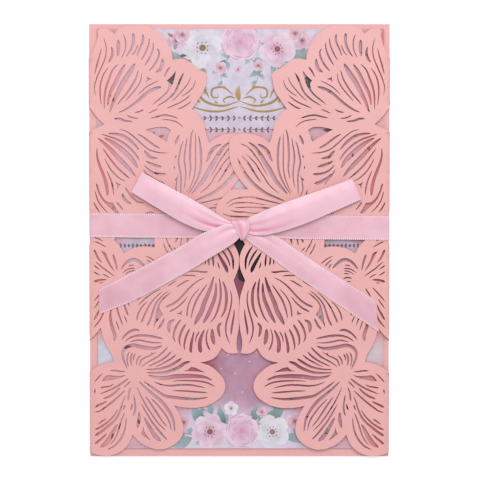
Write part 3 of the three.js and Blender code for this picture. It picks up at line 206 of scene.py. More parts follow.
BAND_SIDE = [
  [0.5, 0.2, 2, 93, 3.5, 92.7, 4.6, 92.2, 6, 91.2],
  [0.45, 0.3, 2, 91.4, 3.5, 91, 5.2, 90.1, 7.4, 88.8],
  [0.8, 0.15, 2, 88, 2.6, 86.9, 3.4, 85, 4.4, 83.5, 5.5, 82.4],
  [0.8, 0.2, 10, 86.1, 10.5, 84.5, 11, 83, 11.5, 81, 11.9, 78.9],
  [0.5, 0.5, 2.5, 83, 4, 81.8, 6, 80, 8, 78.6, 10.9, 76.5],
  [0.5, 0.1, 1.9, 81.4, 3, 80.5, 4.7, 79.4],
  [0.5, 0.2, 1.9, 78.7, 3, 77.9, 4.9, 76.9],
  [0.4, 0.6, 5.3, 77.7, 7.2, 76.9, 8.9, 75.8],
  [1.0, 0.12, 1.9, 74.3, 3.2, 74.7, 5, 75.1, 7.6, 75.2],
  [0.45, 0.7, 4, 73.5, 5, 73.9, 6, 74],
  [0.45, 0.5, 7.8, 73.7, 8.4, 73.6],
  [1.2, 0.6, 13.4, 79.5, 15, 81.7, 16.9, 83.2, 18.8, 83.8, 20.5, 83.3, 22, 82.2, 24.3, 79.9],
  [0.45, 0.6, 16.4, 80.9, 17.5, 81.3, 19.1, 81.3],
  [0.5, 0.8, 14, 77.9, 15.5, 79.2, 17.3, 79.9, 19.5, 80],
  [0.45, 0.8, 15, 77.3, 16.5, 78.4, 18, 78.9, 19.4, 79.1],
  [0.45, 0.6, 17, 77.4, 18, 77.8, 19.5, 77.8],
  [0.6, 0.5, 15.9, 75.6, 17, 76.1, 18.5, 76.1, 19.7, 75.6],
  [0.45, 0.5, 16.2, 74.5, 18.2, 74.5],
  [0.45, 0.5, 16.1, 73.6, 16.7, 73.6],
  [0.55, 0.5, 12.5, 72.3, 12.6, 71.7],
  [0.5, 0.5, 11.1, 70.1, 11.5, 70.5],
  [0.45, 0.5, 21.6, 78, 22.5, 77.4],
  [0.55, 0.9, 23.8, 85.1, 25.3, 84.7, 27, 83.6, 29.1, 82],
  [0.55, 0.85, 24.1, 83.9, 25.8, 82.6, 27.4, 80.9],
  [0.5, 0.6, 24.5, 82.1, 25.3, 81, 26, 79.9],
  [0.5, 0.8, 31.3, 91, 31.9, 89.2, 33, 87, 34.1, 85.7],
  [0.5, 0.7, 32.4, 93.9, 33.2, 91, 34.3, 88.9, 35.8, 86.5],
  [0.45, 0.6, 35.5, 89, 36.3, 88.3, 37.3, 87.3],
  [0.75, 0.85, 38.2, 94.3, 37.1, 92.4, 36.5, 90.7],
  [0.55, 0.5, 39.4, 94.3, 39, 92, 38.6, 89.5],
  [0.8, 0.5, 41.9, 94.6, 41.7, 92.3, 41.3, 90.1],
  [0.8, 0.5, 44.2, 94.8, 44.4, 92.2],
]
MIDDLE_FLOWER = [
  [0.5, 0.5, 49, 84.6, 49, 83, 49.1, 81.4],
  [0.65, 0.7, 50.4, 85.5, 50.5, 83, 50.7, 81],
  [0.7, 0.7, 52.1, 86.3, 52.4, 83.5, 52.6, 80.6],
  [0.5, 0.7, 54.3, 82.9, 54.6, 81.5, 55.2, 79.8],
  [0.7, 0.7, 42.3, 78.6, 45.5, 78.8, 48.3, 78.4, 50.4, 78.6],
  [0.55, 0.6, 39.4, 77, 42, 77, 44, 77, 45.4, 76.6],
  [0.4, 0.5, 33, 72.3, 35, 73.6, 37, 74.8],
  [0.55, 0.5, 36.7, 72, 39, 73.4, 40.8, 74.5, 42.4, 75.1],
  [0.8, 0.92, 49, 76.2, 46, 74.7, 43, 72.3, 40.3, 69.3, 37.8, 66.7, 35.1, 64.8, 32.2, 63.6],
  [0.7, 0.85, 41.8, 68.3, 39.6, 65.6, 36.8, 63.2, 33.8, 61.6],
  [0.6, 0.9, 46.7, 71.6, 44.4, 69.1, 42.5, 66, 41.6, 62.8, 41.3, 59.4],
  [0.75, 0.5, 49.9, 73.4, 47.5, 70, 45.3, 66.4, 43.9, 62.6, 43, 58.6],
  [1.8, 0.75, 52.7, 76.7, 51.5, 72.4, 50, 68.5, 48.6, 65.2, 47.5, 61.8, 46, 59, 44.4, 56],
  [1.5, 0.7, 53.6, 74.2, 53.5, 70, 52.9, 66.8, 51.7, 63.7, 50.2, 60.3, 48.1, 56.6],
  [0.85, 0.35, 54.9, 76.1, 55.5, 72, 55.6, 68.5, 55.1, 65, 54.1, 61.8, 53, 59.3, 51, 56.9],
  [1.1, 0.45, 56.4, 74.7, 57.5, 71.8, 58, 68.5, 57.9, 65, 57.2, 61.9, 55.6, 59],
  [0.65, 0.55, 59.5, 71.2, 60.2, 68, 60, 64.5, 59, 60.5, 58, 57, 57.7, 53.7, 58.3, 50.8, 59.6, 47.8],
  [0.8, 0.7, 61.3, 62.9, 61.2, 60.5, 60.7, 57.3, 60.2, 54.5, 60, 51.6],
  [1.4, 0.75, 54.1, 87, 55.5, 84.5, 57, 81.9, 58, 79.9, 58.6, 78],
  [0.7, 0.4, 55.7, 88.2, 57.4, 86, 58.6, 83.8, 59.3, 82.1, 59.6, 80.6],
  [0.85, 0.55, 57.7, 89.7, 59.6, 86.8, 60.6, 84.4, 60.9, 81.9, 60.8, 79.2],
]
FERN = [
  [0.5, 0.5, 7.5, 72.2, 5.5, 70.1, 3.6, 68, 1.9, 65.9],
  [0.6, 0.5, 10.3, 71.8, 9, 69.6, 7.8, 67.9],
  [0.5, 0.5, 2.5, 68.9, 2, 68.3],
  [0.45, 0.5, 4.9, 67.3, 3.5, 65.1, 1.9, 62.9],
  [0.85, 0.75, 5.4, 64.9, 4.4, 62.4, 3.1, 60, 1.9, 58],
  [0.7, 0.3, 6.2, 61.9, 5.4, 59.9, 4, 57.4, 1.8, 54.8],
  [1.3, 0.85, 9.5, 63.4, 8.9, 60.5, 9.1, 57.5, 10, 54, 10.8, 51.3, 10.5, 49.1],
  [0.7, 0.15, 11.6, 64.4, 12, 62, 13, 59, 14.2, 55.7],
  [0.75, 0.6, 14.5, 65.7, 15.3, 63, 16.5, 59.9],
  [0.45, 0.5, 11.2, 57.9, 12, 55.8, 12.7, 53.7],
  [0.45, 0.5, 14.7, 60, 15.4, 58.4, 16, 56.8],
  [0.45, 0.5, 16, 66.1, 17.3, 63.7],
  [0.7, 0.3, 17.4, 67, 17.8, 65.9],
  [0.65, 0.6, 26.3, 71.2, 24, 70.1, 22, 68.5, 20.3, 66.4],
  [0.5, 0.5, 30.4, 71.4, 27, 69.6, 23.8, 67.3, 20.5, 64.2],
  [0.55, 0.75, 24.8, 66.1, 22.8, 64.3, 21.2, 61.9, 20.4, 59.9, 20.2, 57.7],
  [0.65, 0.9, 31, 70.3, 28.4, 68, 25.8, 64.9, 23.8, 61.2, 21.9, 56.8],
  [0.75, 0.9, 33.8, 70.8, 30.5, 68, 28.2, 65.1, 27, 62, 26, 58.8, 24.4, 55.5],
]
LOWER_FAN = [
  [1.0, 0.55, 31.8, 59, 30.8, 56.8, 30, 55.4, 28.7, 54.2],
  [1.4, 0.5, 36.1, 58.4, 34.1, 57, 33.6, 55, 33.9, 52.6],
  [0.85, 0.4, 38.9, 58.5, 37, 55.8, 35.9, 53, 35.6, 50.8, 36.5, 48.6],
  [0.95, 0.3, 40.8, 56.5, 39.2, 53.6, 38.2, 50.8, 38.1, 48.9, 38.7, 47],
  [0.85, 0.3, 42.6, 54.6, 41.2, 51.8, 40.4, 49, 40.1, 46.9, 40.5, 45.2],
  [1.1, 0.8, 44.4, 53.5, 43.6, 50.3, 43, 47, 42.9, 45.1, 43.2, 44],
  [0.5, 0.4, 46.7, 53.5, 45.4, 51.3, 44.8, 48.3],
  [1.5, 0.85, 48.8, 54.2, 47.3, 50.8, 46.7, 48, 46.9, 45.6, 47.2, 44.1],
  [0.65, 0.8, 50.5, 54.8, 49.6, 52, 49.6, 49, 50.3, 46.7, 51.2, 45],
  [1.6, 0.55, 52, 54.6, 52.1, 51.4, 52.4, 49.5, 53, 47.5],
  [1.1, 0.45, 55.9, 57.2, 54.6, 55.3, 54.7, 53.3, 55.4, 50.7],
  [0.9, 0.75, 13.6, 49.6, 15.2, 51.7, 17.3, 53.3, 19.3, 54, 21.4, 53.6],
  [0.9, 0.6, 14.9, 49, 17.5, 50.7, 20.5, 51.5, 24, 51.5, 27.5, 51, 31.3, 50.2],
  [0.55, 0.35, 17, 48.8, 20.5, 49.6, 24, 49, 27.2, 48.5, 31, 48.5],
  [0.5, 0.5, 30, 52.3, 30.9, 51.9],
  [1.4, 0.33, 31, 47.3, 28.4, 46.2, 25, 46.2, 21.5, 46.8, 18, 47.4, 15.4, 46.4, 14.1, 44.2, 14.2, 42,
   15, 39.8, 16.1, 37.3],
  [0.6, 0.3, 16.9, 44.7, 16.1, 42.8, 16, 40.4, 16.6, 38.1],
  [0.7, 0.5, 18.4, 44.4, 17.6, 42.6, 17.5, 40.8, 17.9, 38.6],
  [0.6, 0.2, 19.5, 43.9, 18.7, 42.4, 18.6, 40.7],
  [0.6, 0.5, 22, 43.3, 20.7, 42, 20.1, 40.6, 20, 38.8],
  [0.75, 0.25, 33.3, 46.8, 31.5, 44.8, 29, 42.6, 26, 40.9, 23.8, 39.6, 21.9, 38.1],
  [0.75, 0.3, 34.9, 44.9, 32.6, 42.6, 30, 40.8, 27.5, 39.6, 24.7, 38.3],
  [0.65, 0.25, 36.8, 43.5, 34.5, 41.6, 32, 40.2, 30, 39.1, 27.7, 38.3],
  [1.0, 0.15, 39.2, 41.9, 36.6, 40.2, 34, 38.7, 31, 37.7, 27.5, 37.2, 23.9, 37.1],
  [1.2, 0.2, 42.8, 40.6, 40.3, 39.8, 38, 38.2, 35.2, 36.9, 32, 35.9, 28, 35.7, 24, 35.8],
]
BOTTOM_PETAL = [
  [1.7, 0.45, 24.8, 34.8, 28, 33.8, 32, 33.5, 36, 34.1, 40, 34.3, 44.5, 34.3, 49, 33.8, 52.1, 32.5],
  [0.65, 0.7, 34.8, 32.1, 38, 32.4, 42, 32.4, 46, 32.2, 49.8, 31.5, 53.3, 29.8],
  [0.7, 0.5, 27.1, 32, 30, 30.8, 34, 30.2, 38, 30.5, 42, 30.6, 45.5, 30.1, 49.4, 29.2],
  [0.65, 0.65, 35, 28.1, 40, 28, 45, 27.6, 50.2, 27.2],
  [1.1, 0.55, 22.8, 32.3, 26, 29.9, 29, 27.7, 32, 25.9, 35.5, 25.3, 40, 24.8, 45, 24.6, 50.4, 25.3],
  [1.2, 0.45, 20.9, 32.2, 23.7, 29.3, 27, 26.5, 30.2, 23.8, 33, 20.4, 35.2, 16.4, 36.2, 10.5],
  [0.65, 0.5, 26, 24.9, 28.7, 22.2, 31.3, 19, 33.3, 15.9, 34.2, 13.7, 34.6, 11],
  [0.75, 0.4, 23.6, 25.7, 26, 22.4, 28.3, 18.9, 30.4, 15.7, 32.9, 12.6],
  [0.6, 0.5, 20, 29.9, 21.7, 26, 24, 21.7, 27, 17.1, 29.5, 13.8, 32.5, 10.9],
  [0.75, 0.75, 21.8, 22.8, 24, 18.8, 26.3, 15, 28.6, 12, 30.7, 9.4, 33, 7.1],
  [1.6, 0.8, 23, 16.9, 24.7, 13.8, 26.3, 11, 27.9, 8.6, 30.2, 6.6],
  [1.3, 0.6, 20.9, 19.1, 21, 16.8, 20.7, 14.5, 20.2, 12.2],
  [0.75, 0.8, 18.6, 26.7, 19.1, 23.8, 19.4, 21.3, 19.2, 19.3, 18.4, 17.3],
  [0.65, 0.6, 18.1, 22.7, 17.9, 21.3, 17.3, 19.7],
  [0.4, 0.5, 18.2, 28.7, 18, 27.6],
  [0.8, 0.75, 17.7, 29.8, 16.9, 27.8, 16.6, 25.7, 16.3, 23.6],
]
CORNER_FERN = [
  [1.0, 0.93, 15.2, 26.1, 14, 23, 13.2, 20.2, 11.9, 17.2, 10, 14.8, 7.3, 12.5, 4.5, 10.3, 2.1, 8.9],
  [0.6, 0.3, 15, 22.2, 14.7, 21, 14.1, 19.7],
  [0.75, 0.8, 12, 20.2, 10.3, 17.4, 8.2, 15.2, 5.8, 13.3, 3.9, 12.2, 2.1, 11.4],
  [0.65, 0.4, 14.9, 19, 13.6, 15.8, 12.5, 12.3, 11.4, 9, 10.1, 6.7, 8.3, 4.8],
  [0.75, 0.65, 15.5, 16.8, 15.2, 13, 14.2, 9.5, 12.6, 6.7, 10.4, 4.5, 7.4, 3],
  [0.55, 0.3, 7, 16.2, 5, 14.9, 3.3, 13.6],
  [0.95, 0.9, 7.4, 10, 5.2, 7.8, 3.5, 6.4, 2.1, 5.3],
  [1.8, 0.7, 11.8, 14, 10.2, 11, 8.6, 8, 6.9, 5.7, 4.4, 4],
  [0.75, 0.5, 15.2, 28.4, 12.5, 25.8, 9.3, 23, 6.5, 20.9, 4.5, 19.5, 2.1, 18.9],
  [0.85, 0.7, 7.5, 23.7, 5.4, 22.6, 3.6, 21.8, 2.1, 20.9],
  [0.9, 0.5, 13.1, 29.5, 11, 27.4, 8.7, 25.8, 5.6, 24.6],
  [0.75, 0.25, 16.6, 33.4, 13.6, 31.1, 10.6, 29.3, 7.5, 27.9, 4.3, 26.7],
  [0.55, 0.2, 17.5, 32.2, 16, 30.8, 14.4, 29.2],
  [0.6, 0.8, 10.5, 31.1, 8.7, 30, 6.8, 29.7, 4.4, 29.3],
  [0.6, 0.5, 2.4, 29.1, 2.1, 26.6],
  [0.65, 0.3, 8.7, 36.6, 11, 36.6, 13.2, 36.3, 15.3, 36.2],
  [0.5, 0.5, 5.7, 35.6, 4, 33.9, 1.9, 31.6],
  [0.5, 0.5, 2.8, 34.8, 1.9, 34],
  [0.5, 0.5, 22.2, 34.6, 22.9, 34.1],
  [0.6, 0.5, 18.9, 32.9, 19.6, 32.9],
]
# Larger openings with corners of their own.
WINDOWS = [
  [[24.6, 160.9], [25.4, 160.2], [26.9, 159.9], [25.3, 159.4], [24.1, 158.4], [24.6, 159.8]],
  [[36.9, 163.4], [36.3, 160.8], [35.6, 158.2], [34.7, 156.2], [33.8, 154.7], [31.9, 152.7], [29.3, 150.6],
   [26.6, 148.8], [29, 151.1], [31.5, 153.2], [33.1, 155.1], [33.6, 156.8], [33.7, 158], [32.9, 159.2],
   [34.6, 160.6], [35.7, 161.8]],
  [[24, 138.5], [26.5, 139.2], [30, 139.7], [32.8, 139.5], [34.6, 138.3], [33.6, 136], [32.8, 133.5],
   [30.5, 134.9], [27.5, 136.7], [25.5, 137.9]],
  [[11.2, 116.7], [12.5, 115.8], [13.6, 115.5], [12.8, 115], [12, 113.3], [12, 115]],
  [[2.9, 116.1], [3.8, 115], [4.2, 113.4], [5, 111.5], [6.1, 109.7], [7.3, 108.4], [8.6, 107.8],
   [10.1, 107.7], [11, 106.2], [11.7, 104.8], [12.7, 103.4], [11.6, 103.3], [10, 104.6], [8.2, 106.2],
   [6.7, 107.6], [5.4, 109.1], [4.3, 111.2], [3.5, 113.2]],
  [[37.6, 119.9], [37.3, 118.4], [36.1, 117.5], [36.7, 116.9], [36.6, 115.3], [36.5, 113.2], [37.1, 111.6],
   [38.4, 110.1], [37.4, 111.9], [37, 113.4], [37.2, 115.3], [37.4, 117.5], [37.7, 118.6]],
  [[34.9, 113.6], [34.8, 111.9], [35, 111.3], [36, 111.1], [35.4, 111.9]],
  [[4.1, 88.2], [5.2, 87.3], [6.6, 86.8], [7.4, 85.9], [7.7, 84.7], [8.2, 83.5], [8.8, 82.2], [9.8, 80.5],
   [10.7, 78.6], [9.6, 79.9], [8.3, 81.6], [7.1, 83.7], [6.2, 85.5], [5.3, 87]],
  [[10.5, 91.9], [11.2, 93.2], [13, 96.4], [16, 99.6], [20.5, 101.4], [24.5, 101], [26.4, 98.4], [27.2, 95],
   [27.8, 88.8], [26, 89.1], [22, 89.2], [19, 88.6], [16.5, 87.5], [14.7, 86.3], [13.9, 87.6], [12.9, 89.4],
   [11.6, 90.9]],
  [[34.9, 70.1], [32.5, 67.8], [30.5, 65.8], [29.6, 64], [30.2, 62], [31.2, 60.5], [29, 57.8], [27.8, 56.2],
   [27.1, 54.5], [27.6, 57.5], [28.2, 61], [29, 64.2], [30.1, 66.2], [32, 68.2]],
  [[36.8, 60.8], [38.3, 61.3], [39.1, 62.5], [39, 61.2], [39.2, 60.3], [38.2, 60.6]],
  [[28.8, 44.9], [26.9, 43.9], [26.2, 44.4], [25.9, 43.5], [23.7, 42.5], [21.7, 41.2], [20.9, 38.6],
   [21.4, 38.6], [22.2, 40.7], [23.8, 41.9], [26.3, 43]],
  [[39.7, 36.5], [41.9, 37.1], [43, 38.1], [44.7, 37.9], [46.6, 37], [49, 35.9], [46.3, 36.2], [42.5, 36.4]],
  [[22.8, 12.7], [22.3, 10.7], [21.8, 9.8], [22.9, 8.8], [24.4, 7.8], [25.9, 6.8], [24.9, 8.1], [23.7, 9.8],
   [23.1, 11]],
  [[15.5, 34.8], [13.5, 34.4], [10, 34.5], [7.2, 34.5], [6.3, 33.8], [5.2, 32.2], [8.5, 32.5], [11.7, 33.2],
   [13.7, 33.9]],
]

SLITS = [
    *CREST, *CUP, *SIDE_PETAL, *LEFT_FAN, *TALL_PETAL, *LEANING_PETAL, *BAND_SIDE,
    *MIDDLE_FLOWER, *FERN, *LOWER_FAN, *BOTTOM_PETAL, *CORNER_FERN,
]


# How the cuts are made, in millimetres: the blunter a slit's ends, the lower its fullness.
SAME_POINT = 1e-4
SLIVER_AREA = 1e-7
CUT_FULLNESS = 0.5
CUT_WIDENING = 1.12
CUT_STEP = 1.1
EDGE_STEP = 0.9
OUTLINE_CORNER = math.radians(38)
WINDOW_CORNER = math.radians(50)


# Plain geometry helpers.

def smooth_line(points, step):
    """A smooth line through the points, as an array with a point about every step."""
    p = np.array(points, float)
    if len(p) == 2:
        count = max(1, round(float(np.linalg.norm(p[1] - p[0])) / step))
        return p[0] + (p[1] - p[0]) * np.linspace(0, 1, count + 1)[:, None]
    chords = np.maximum(np.linalg.norm(np.diff(p, axis=0), axis=1), 1e-6)
    slopes = np.diff(p, axis=0) / chords[:, None]
    tangents = np.empty_like(p)
    tangents[0], tangents[-1] = slopes[0], slopes[-1]
    weight = (chords[1:] / (chords[1:] + chords[:-1]))[:, None]
    tangents[1:-1] = slopes[:-1] * weight + slopes[1:] * (1 - weight)
    line = [p[:1]]
    for i, chord in enumerate(chords):
        count = max(1, math.ceil(chord / step))
        t = (np.arange(1, count + 1) / count)[:, None]
        line.append(
            (2 * t**3 - 3 * t**2 + 1) * p[i] + (t**3 - 2 * t**2 + t) * chord * tangents[i]
            + (3 * t**2 - 2 * t**3) * p[i + 1] + (t**3 - t**2) * chord * tangents[i + 1])
    return np.concatenate(line)


def smooth_edge(points, step, corner_angle, closed=False):
    """A line through the points that is smooth between its corners and sharp at them."""
    p = np.array(points + [points[0]] if closed else points, float)
    ways = np.diff(p, axis=0)
    angles = np.arctan2(ways[:, 1], ways[:, 0])
    turns = np.abs((np.diff(angles) + math.pi) % (2 * math.pi) - math.pi)
    corners = [0] + [i + 1 for i, turn in enumerate(turns) if turn > corner_angle] + [len(p) - 1]
    runs = [smooth_line(p[a:b + 1], step) for a, b in zip(corners, corners[1:])]
    line = np.concatenate([run[:-1] for run in runs] + [p[-1:]])
    return line[:-1] if closed else line


def cut_outline(slit, step):
    """The outline of a slit, pointed at both ends."""
    width, belly = slit[:2]
    line = smooth_line(np.array(slit[2:]).reshape(-1, 2), step)
    lengths = np.concatenate([[0], np.cumsum(np.linalg.norm(np.diff(line, axis=0), axis=1))])
    share = lengths / lengths[-1]
    rise = np.where(share < belly, share / belly, (1 - share) / (1 - belly))
    half = CUT_WIDENING * width / 2 * np.sin(math.pi / 2 * np.clip(rise, 0, 1)) ** CUT_FULLNESS
    along = np.gradient(line, axis=0)
    along /= np.linalg.norm(along, axis=1)[:, None]
    across = np.stack([-along[:, 1], along[:, 0]], axis=1)
    side = across[1:-1] * half[1:-1, None]
    return np.concatenate([line[:1], line[1:-1] + side, line[-1:], (line[1:-1] - side)[::-1]])


def inside(points, outline):
    """Which of the points lie inside a closed outline."""
    x, y = points[:, 0], points[:, 1]
    within = np.zeros(len(points), bool)
    for (x0, y0), (x1, y1) in zip(outline, np.roll(outline, -1, axis=0)):
        if y0 != y1:
            within ^= ((y0 > y) != (y1 > y)) & (x < (x1 - x0) * (y - y0) / (y1 - y0) + x0)
    return within


def inside_any(points, outlines):
    """The index of the last outline that each point lies inside, or -1."""
    owner = np.full(len(points), -1)
    for i, outline in enumerate(outlines):
        low, high = outline.min(axis=0), outline.max(axis=0)
        near = np.flatnonzero(((points >= low) & (points <= high)).all(axis=1))
        if len(near):
            owner[near[inside(points[near], outline)]] = i
    return owner


def triangulated(outline, cuts, extra):
    """Corners and triangles of a sheet with the given outline, with edges along the cuts."""
    rings = [outline, *cuts]
    corners = np.concatenate([*rings, extra]) if len(extra) else np.concatenate(rings)
    edges, start = [], 0
    for ring in rings:
        count = len(ring)
        edges += [(start + i, start + (i + 1) % count) for i in range(count)]
        start += count
    made = delaunay_2d_cdt([Vector(c) for c in corners], edges, [], 0, SAME_POINT)
    points = np.array([tuple(v) for v in made[0]])
    faces = np.array([f for f in made[2] if len(f) == 3])
    a, b, c = (points[faces[:, i]] for i in range(3))
    area = (b[:, 0] - a[:, 0]) * (c[:, 1] - a[:, 1]) - (c[:, 0] - a[:, 0]) * (b[:, 1] - a[:, 1])
    faces = np.where(area[:, None] < 0, faces[:, ::-1], faces)
    keep = (np.abs(area) > SLIVER_AREA) & inside(points[faces].mean(axis=1), outline)
    return points, faces[keep]


def open_edges(faces):
    """The edges that belong to one triangle only, in that triangle's direction."""
    edges = np.concatenate([faces[:, [0, 1]], faces[:, [1, 2]], faces[:, [2, 0]]])
    key = np.sort(edges, axis=1)
    _, first, uses = np.unique(key, axis=0, return_index=True, return_counts=True)
    return edges[first[uses == 1]]


def mesh_object(name, points_mm, faces, materials, face_materials=None):
    """A smooth-shaded mesh object from points in millimetres."""
    mesh = bpy.data.meshes.new(name)
    mesh.from_pydata((np.asarray(points_mm) * MM).tolist(), [], [list(map(int, f)) for f in faces])
    for material in materials:
        mesh.materials.append(material)
    if face_materials is not None:
        mesh.polygons.foreach_set("material_index", np.asarray(face_materials, np.int32))
    mesh.polygons.foreach_set("use_smooth", np.ones(len(mesh.polygons), bool))
    mesh.update()
    thing = bpy.data.objects.new(name, mesh)
    bpy.context.scene.collection.objects.link(thing)
    return thing


def joined(parts):
    """The points and the faces of several parts, each with its points first and its faces next."""
    faces, start = [], 0
    for points, part_faces, *_ in parts:
        faces += [tuple(start + i for i in face) for face in part_faces]
        start += len(points)
    return np.concatenate([part[0] for part in parts]), faces


def eased(value, low, high):
    """0 below low, 1 above high, and a smooth rise between them."""
    t = np.clip((value - low) / (high - low), 0, 1)
    return t * t * (3 - 2 * t)


# The folded jacket.

BAND_LOW, BAND_HIGH = 91.35, 103.05  # where the ribbon passes behind the back panel, from the page's bottom
BAND_RAMP = 1.6
BAND_LIFT = 0.3
BARE_EDGE = 0.15  # how far the back panel stops short of the folds where no flap is attached
TIED_HEIGHT = 96  # the middle of the ribbon, which holds the petals down, up the page
DRAWN_IN = 6  # how far from the folds the card gives way to the ribbon behind it
CLOSE_ROWS = np.arange(87, 108, 0.8)  # heights where the card is divided finely, at the ribbon
SEAM_NEAR = 1e-3
INNER_CLEARANCE = 0.32  # between the points inside a sheet and its edges
JACKET_WELD = 0.004


def fold_stretches():
    """The lengths of fold that join a flap to the back panel, from the page's bottom."""
    return [
        (FLAP_EDGE[-1][1], LOWER_NOTCH[0][1]),
        (LOWER_NOTCH[-1][1], UPPER_NOTCH[0][1]),
        (UPPER_NOTCH[-1][1], FLAP_EDGE[0][1]),
    ]


def seam_places(low, high):
    """Heights up the page where the fold is divided, closer together at the ribbon."""
    places = set(np.round(np.linspace(low, high, max(2, round((high - low) / 3)) + 1), 4))
    places |= {round(float(v), 4) for v in CLOSE_ROWS if low + 0.3 < v < high - 0.3}
    return np.array(sorted(places))


def band_bump(v):
    """How far the back panel stands off the table, up the page."""
    rise, fall = eased(v, BAND_LOW - BAND_RAMP, BAND_LOW), eased(v, BAND_HIGH, BAND_HIGH + BAND_RAMP)
    return BAND_LIFT * rise * (1 - fall)


def flap_lift(u, v, lift):
    """The free petals' slight lift off the card below them, away from the fold and the ribbon."""
    free = eased(u, 22, 62) * eased(np.abs(v - TIED_HEIGHT), 16, 46)
    ripple = 0.35 + 0.65 * (0.5 + 0.5 * np.sin(u * 0.145 + 0.6) * np.sin(v * 0.087 + 1.1))
    return lift * free * ripple


def flap_surface(side, s, v, top, thickness, lift):
    """Points of a flap's middle surface: s runs round the fold and across the flap, v up the page."""
    radius = top / 2 - thickness / 2
    bump = band_bump(v)
    low, high = bump + thickness / 2, top - thickness / 2
    bend = (high - low) / 2
    quarter = math.pi / 2
    angle = np.clip(s / radius, -quarter, quarter)
    shift = bump + bend - radius  # the fold is drawn in where the ribbon goes round it
    u_round = thickness / 2 + bump + bend * (1 - np.cos(angle))
    u_flat = thickness / 2 + radius + (s - radius * quarter)
    flat = s > radius * quarter
    u = np.where(flat, u_flat + shift * np.clip(1 - (u_flat - radius) / DRAWN_IN, 0, 1), u_round)
    z = np.where(flat, high + flap_lift(u_flat, v, lift), (low + high) / 2 + bend * np.sin(angle))
    x = side * (PAGE_WIDTH / 2 - u * PAGE_WIDTH / DRAWN_WIDTH)
    return np.stack([x, v * PAGE_HEIGHT / DRAWN_HEIGHT - PAGE_HEIGHT / 2, z], axis=1)


def panel_surface(x, v, seam_left, seam_right, thickness):
    """Points of the back panel's middle surface."""
    bump = band_bump(v)
    pull = bump / 2  # the panel's side edges are drawn in by the bump, as the folds are
    at_left = np.clip(1 - (x - seam_left) / DRAWN_IN, 0, 1)
    at_right = np.clip(1 - (seam_right - x) / DRAWN_IN, 0, 1)
    x = x + pull * at_left - pull * at_right
    return np.stack([x, v * PAGE_HEIGHT / DRAWN_HEIGHT - PAGE_HEIGHT / 2, bump + thickness / 2], axis=1)


def thick_sheet(flat, faces, surface, thickness, is_seam, outer_sign):
    """A sheet of card made from a flat pattern: both of its faces, and cut edges all round but at a seam."""
    step = 1e-3
    middle = surface(flat[:, 0], flat[:, 1])
    along = surface(flat[:, 0] + step, flat[:, 1]) - surface(flat[:, 0] - step, flat[:, 1])
    up = surface(flat[:, 0], flat[:, 1] + step) - surface(flat[:, 0], flat[:, 1] - step)
    normal = np.cross(along, up) * outer_sign
    normal /= np.linalg.norm(normal, axis=1)[:, None]
    points = np.concatenate([middle + normal * thickness / 2, middle - normal * thickness / 2])
    count = len(flat)
    outer = faces if outer_sign > 0 else faces[:, ::-1]
    rim = open_edges(outer)
    rim = rim[~(is_seam(flat[rim[:, 0]]) & is_seam(flat[rim[:, 1]]))]
    walls = np.stack([rim[:, 1], rim[:, 0], rim[:, 0] + count, rim[:, 1] + count], axis=1)
    all_faces = outer.tolist() + (outer[:, ::-1] + count).tolist() + walls.tolist()
    kinds = [0] * (2 * len(outer)) + [1] * len(walls)
    return points, all_faces, kinds


def flap_pattern(radius, thickness):
    """The outline, cuts and inner points of a flap, with the fold and the seam beyond it laid flat."""
    quarter = radius * math.pi / 2

    def laid(points):
        p = np.array(points, float)
        u = np.maximum(p[:, 0] - thickness / 2, 0)
        turned = radius * np.arccos(np.clip(1 - u / radius, -1, 1))
        return np.stack([np.where(u < radius, turned, u - radius + quarter), p[:, 1]], axis=1)

    def straight(s0, v0, s1, v1, count):
        t = np.linspace(0, 1, count + 1)[:-1, None]
        return np.array([[s0, v0]]) * (1 - t) + np.array([[s1, v1]]) * t

    stretches = fold_stretches()
    outline = [laid(smooth_edge(FLAP_EDGE, EDGE_STEP, OUTLINE_CORNER)[:-1])]
    notches = [LOWER_NOTCH, UPPER_NOTCH, None]
    for (low, high), notch in zip(stretches, notches):
        outline.append(straight(0, low, -quarter, low, 4))
        seam = seam_places(low, high)
        outline.append(np.stack([np.full(len(seam) - 1, -quarter), seam[:-1]], axis=1))
        outline.append(straight(-quarter, high, 0, high, 4))
        if notch:
            outline.append(laid(smooth_edge(notch, EDGE_STEP, OUTLINE_CORNER)[:-1]))
    outline = np.concatenate(outline)
    cuts = [laid(cut_outline(slit, CUT_STEP)) for slit in SLITS]
    cuts += [laid(smooth_edge(window, EDGE_STEP, WINDOW_CORNER, closed=True)) for window in WINDOWS]

    spread = [(s, v) for j, v in enumerate(np.arange(1.5, DRAWN_HEIGHT, 2.6))
              for s in np.arange(2.4 + 1.5 * (j % 2), 74, 3.0)]
    bends = [(quarter * k / 4, v) for low, high in stretches for v in seam_places(low, high)[1:-1]
             for k in range(-3, 5)]
    inner = np.array(spread + bends)
    tree = KDTree(sum(len(c) for c in cuts) + len(outline))
    for i, place in enumerate(np.concatenate([outline, *cuts])):
        tree.insert((*place, 0), i)
    tree.balance()
    clear = np.array([tree.find((*place, 0))[2] > INNER_CLEARANCE for place in inner])
    inner = inner[clear & inside(inner, outline)]
    inner = inner[inside_any(inner, cuts) < 0]
    return outline, cuts, inner


def cut_flap(side, top, thickness, lift):
    """One flap with its lace, from the seam inside its fold to its free edge."""
    radius = top / 2 - thickness / 2
    outline, cuts, inner = flap_pattern(radius, thickness)
    flat, faces = triangulated(outline, cuts, inner)
    faces = faces[inside_any(flat[faces].mean(axis=1), cuts) < 0]
    seam = -radius * math.pi / 2
    return thick_sheet(
        flat, faces, lambda s, v: flap_surface(side, s, v, top, thickness, lift), thickness,
        lambda p: p[:, 0] < seam + SEAM_NEAR, -side)


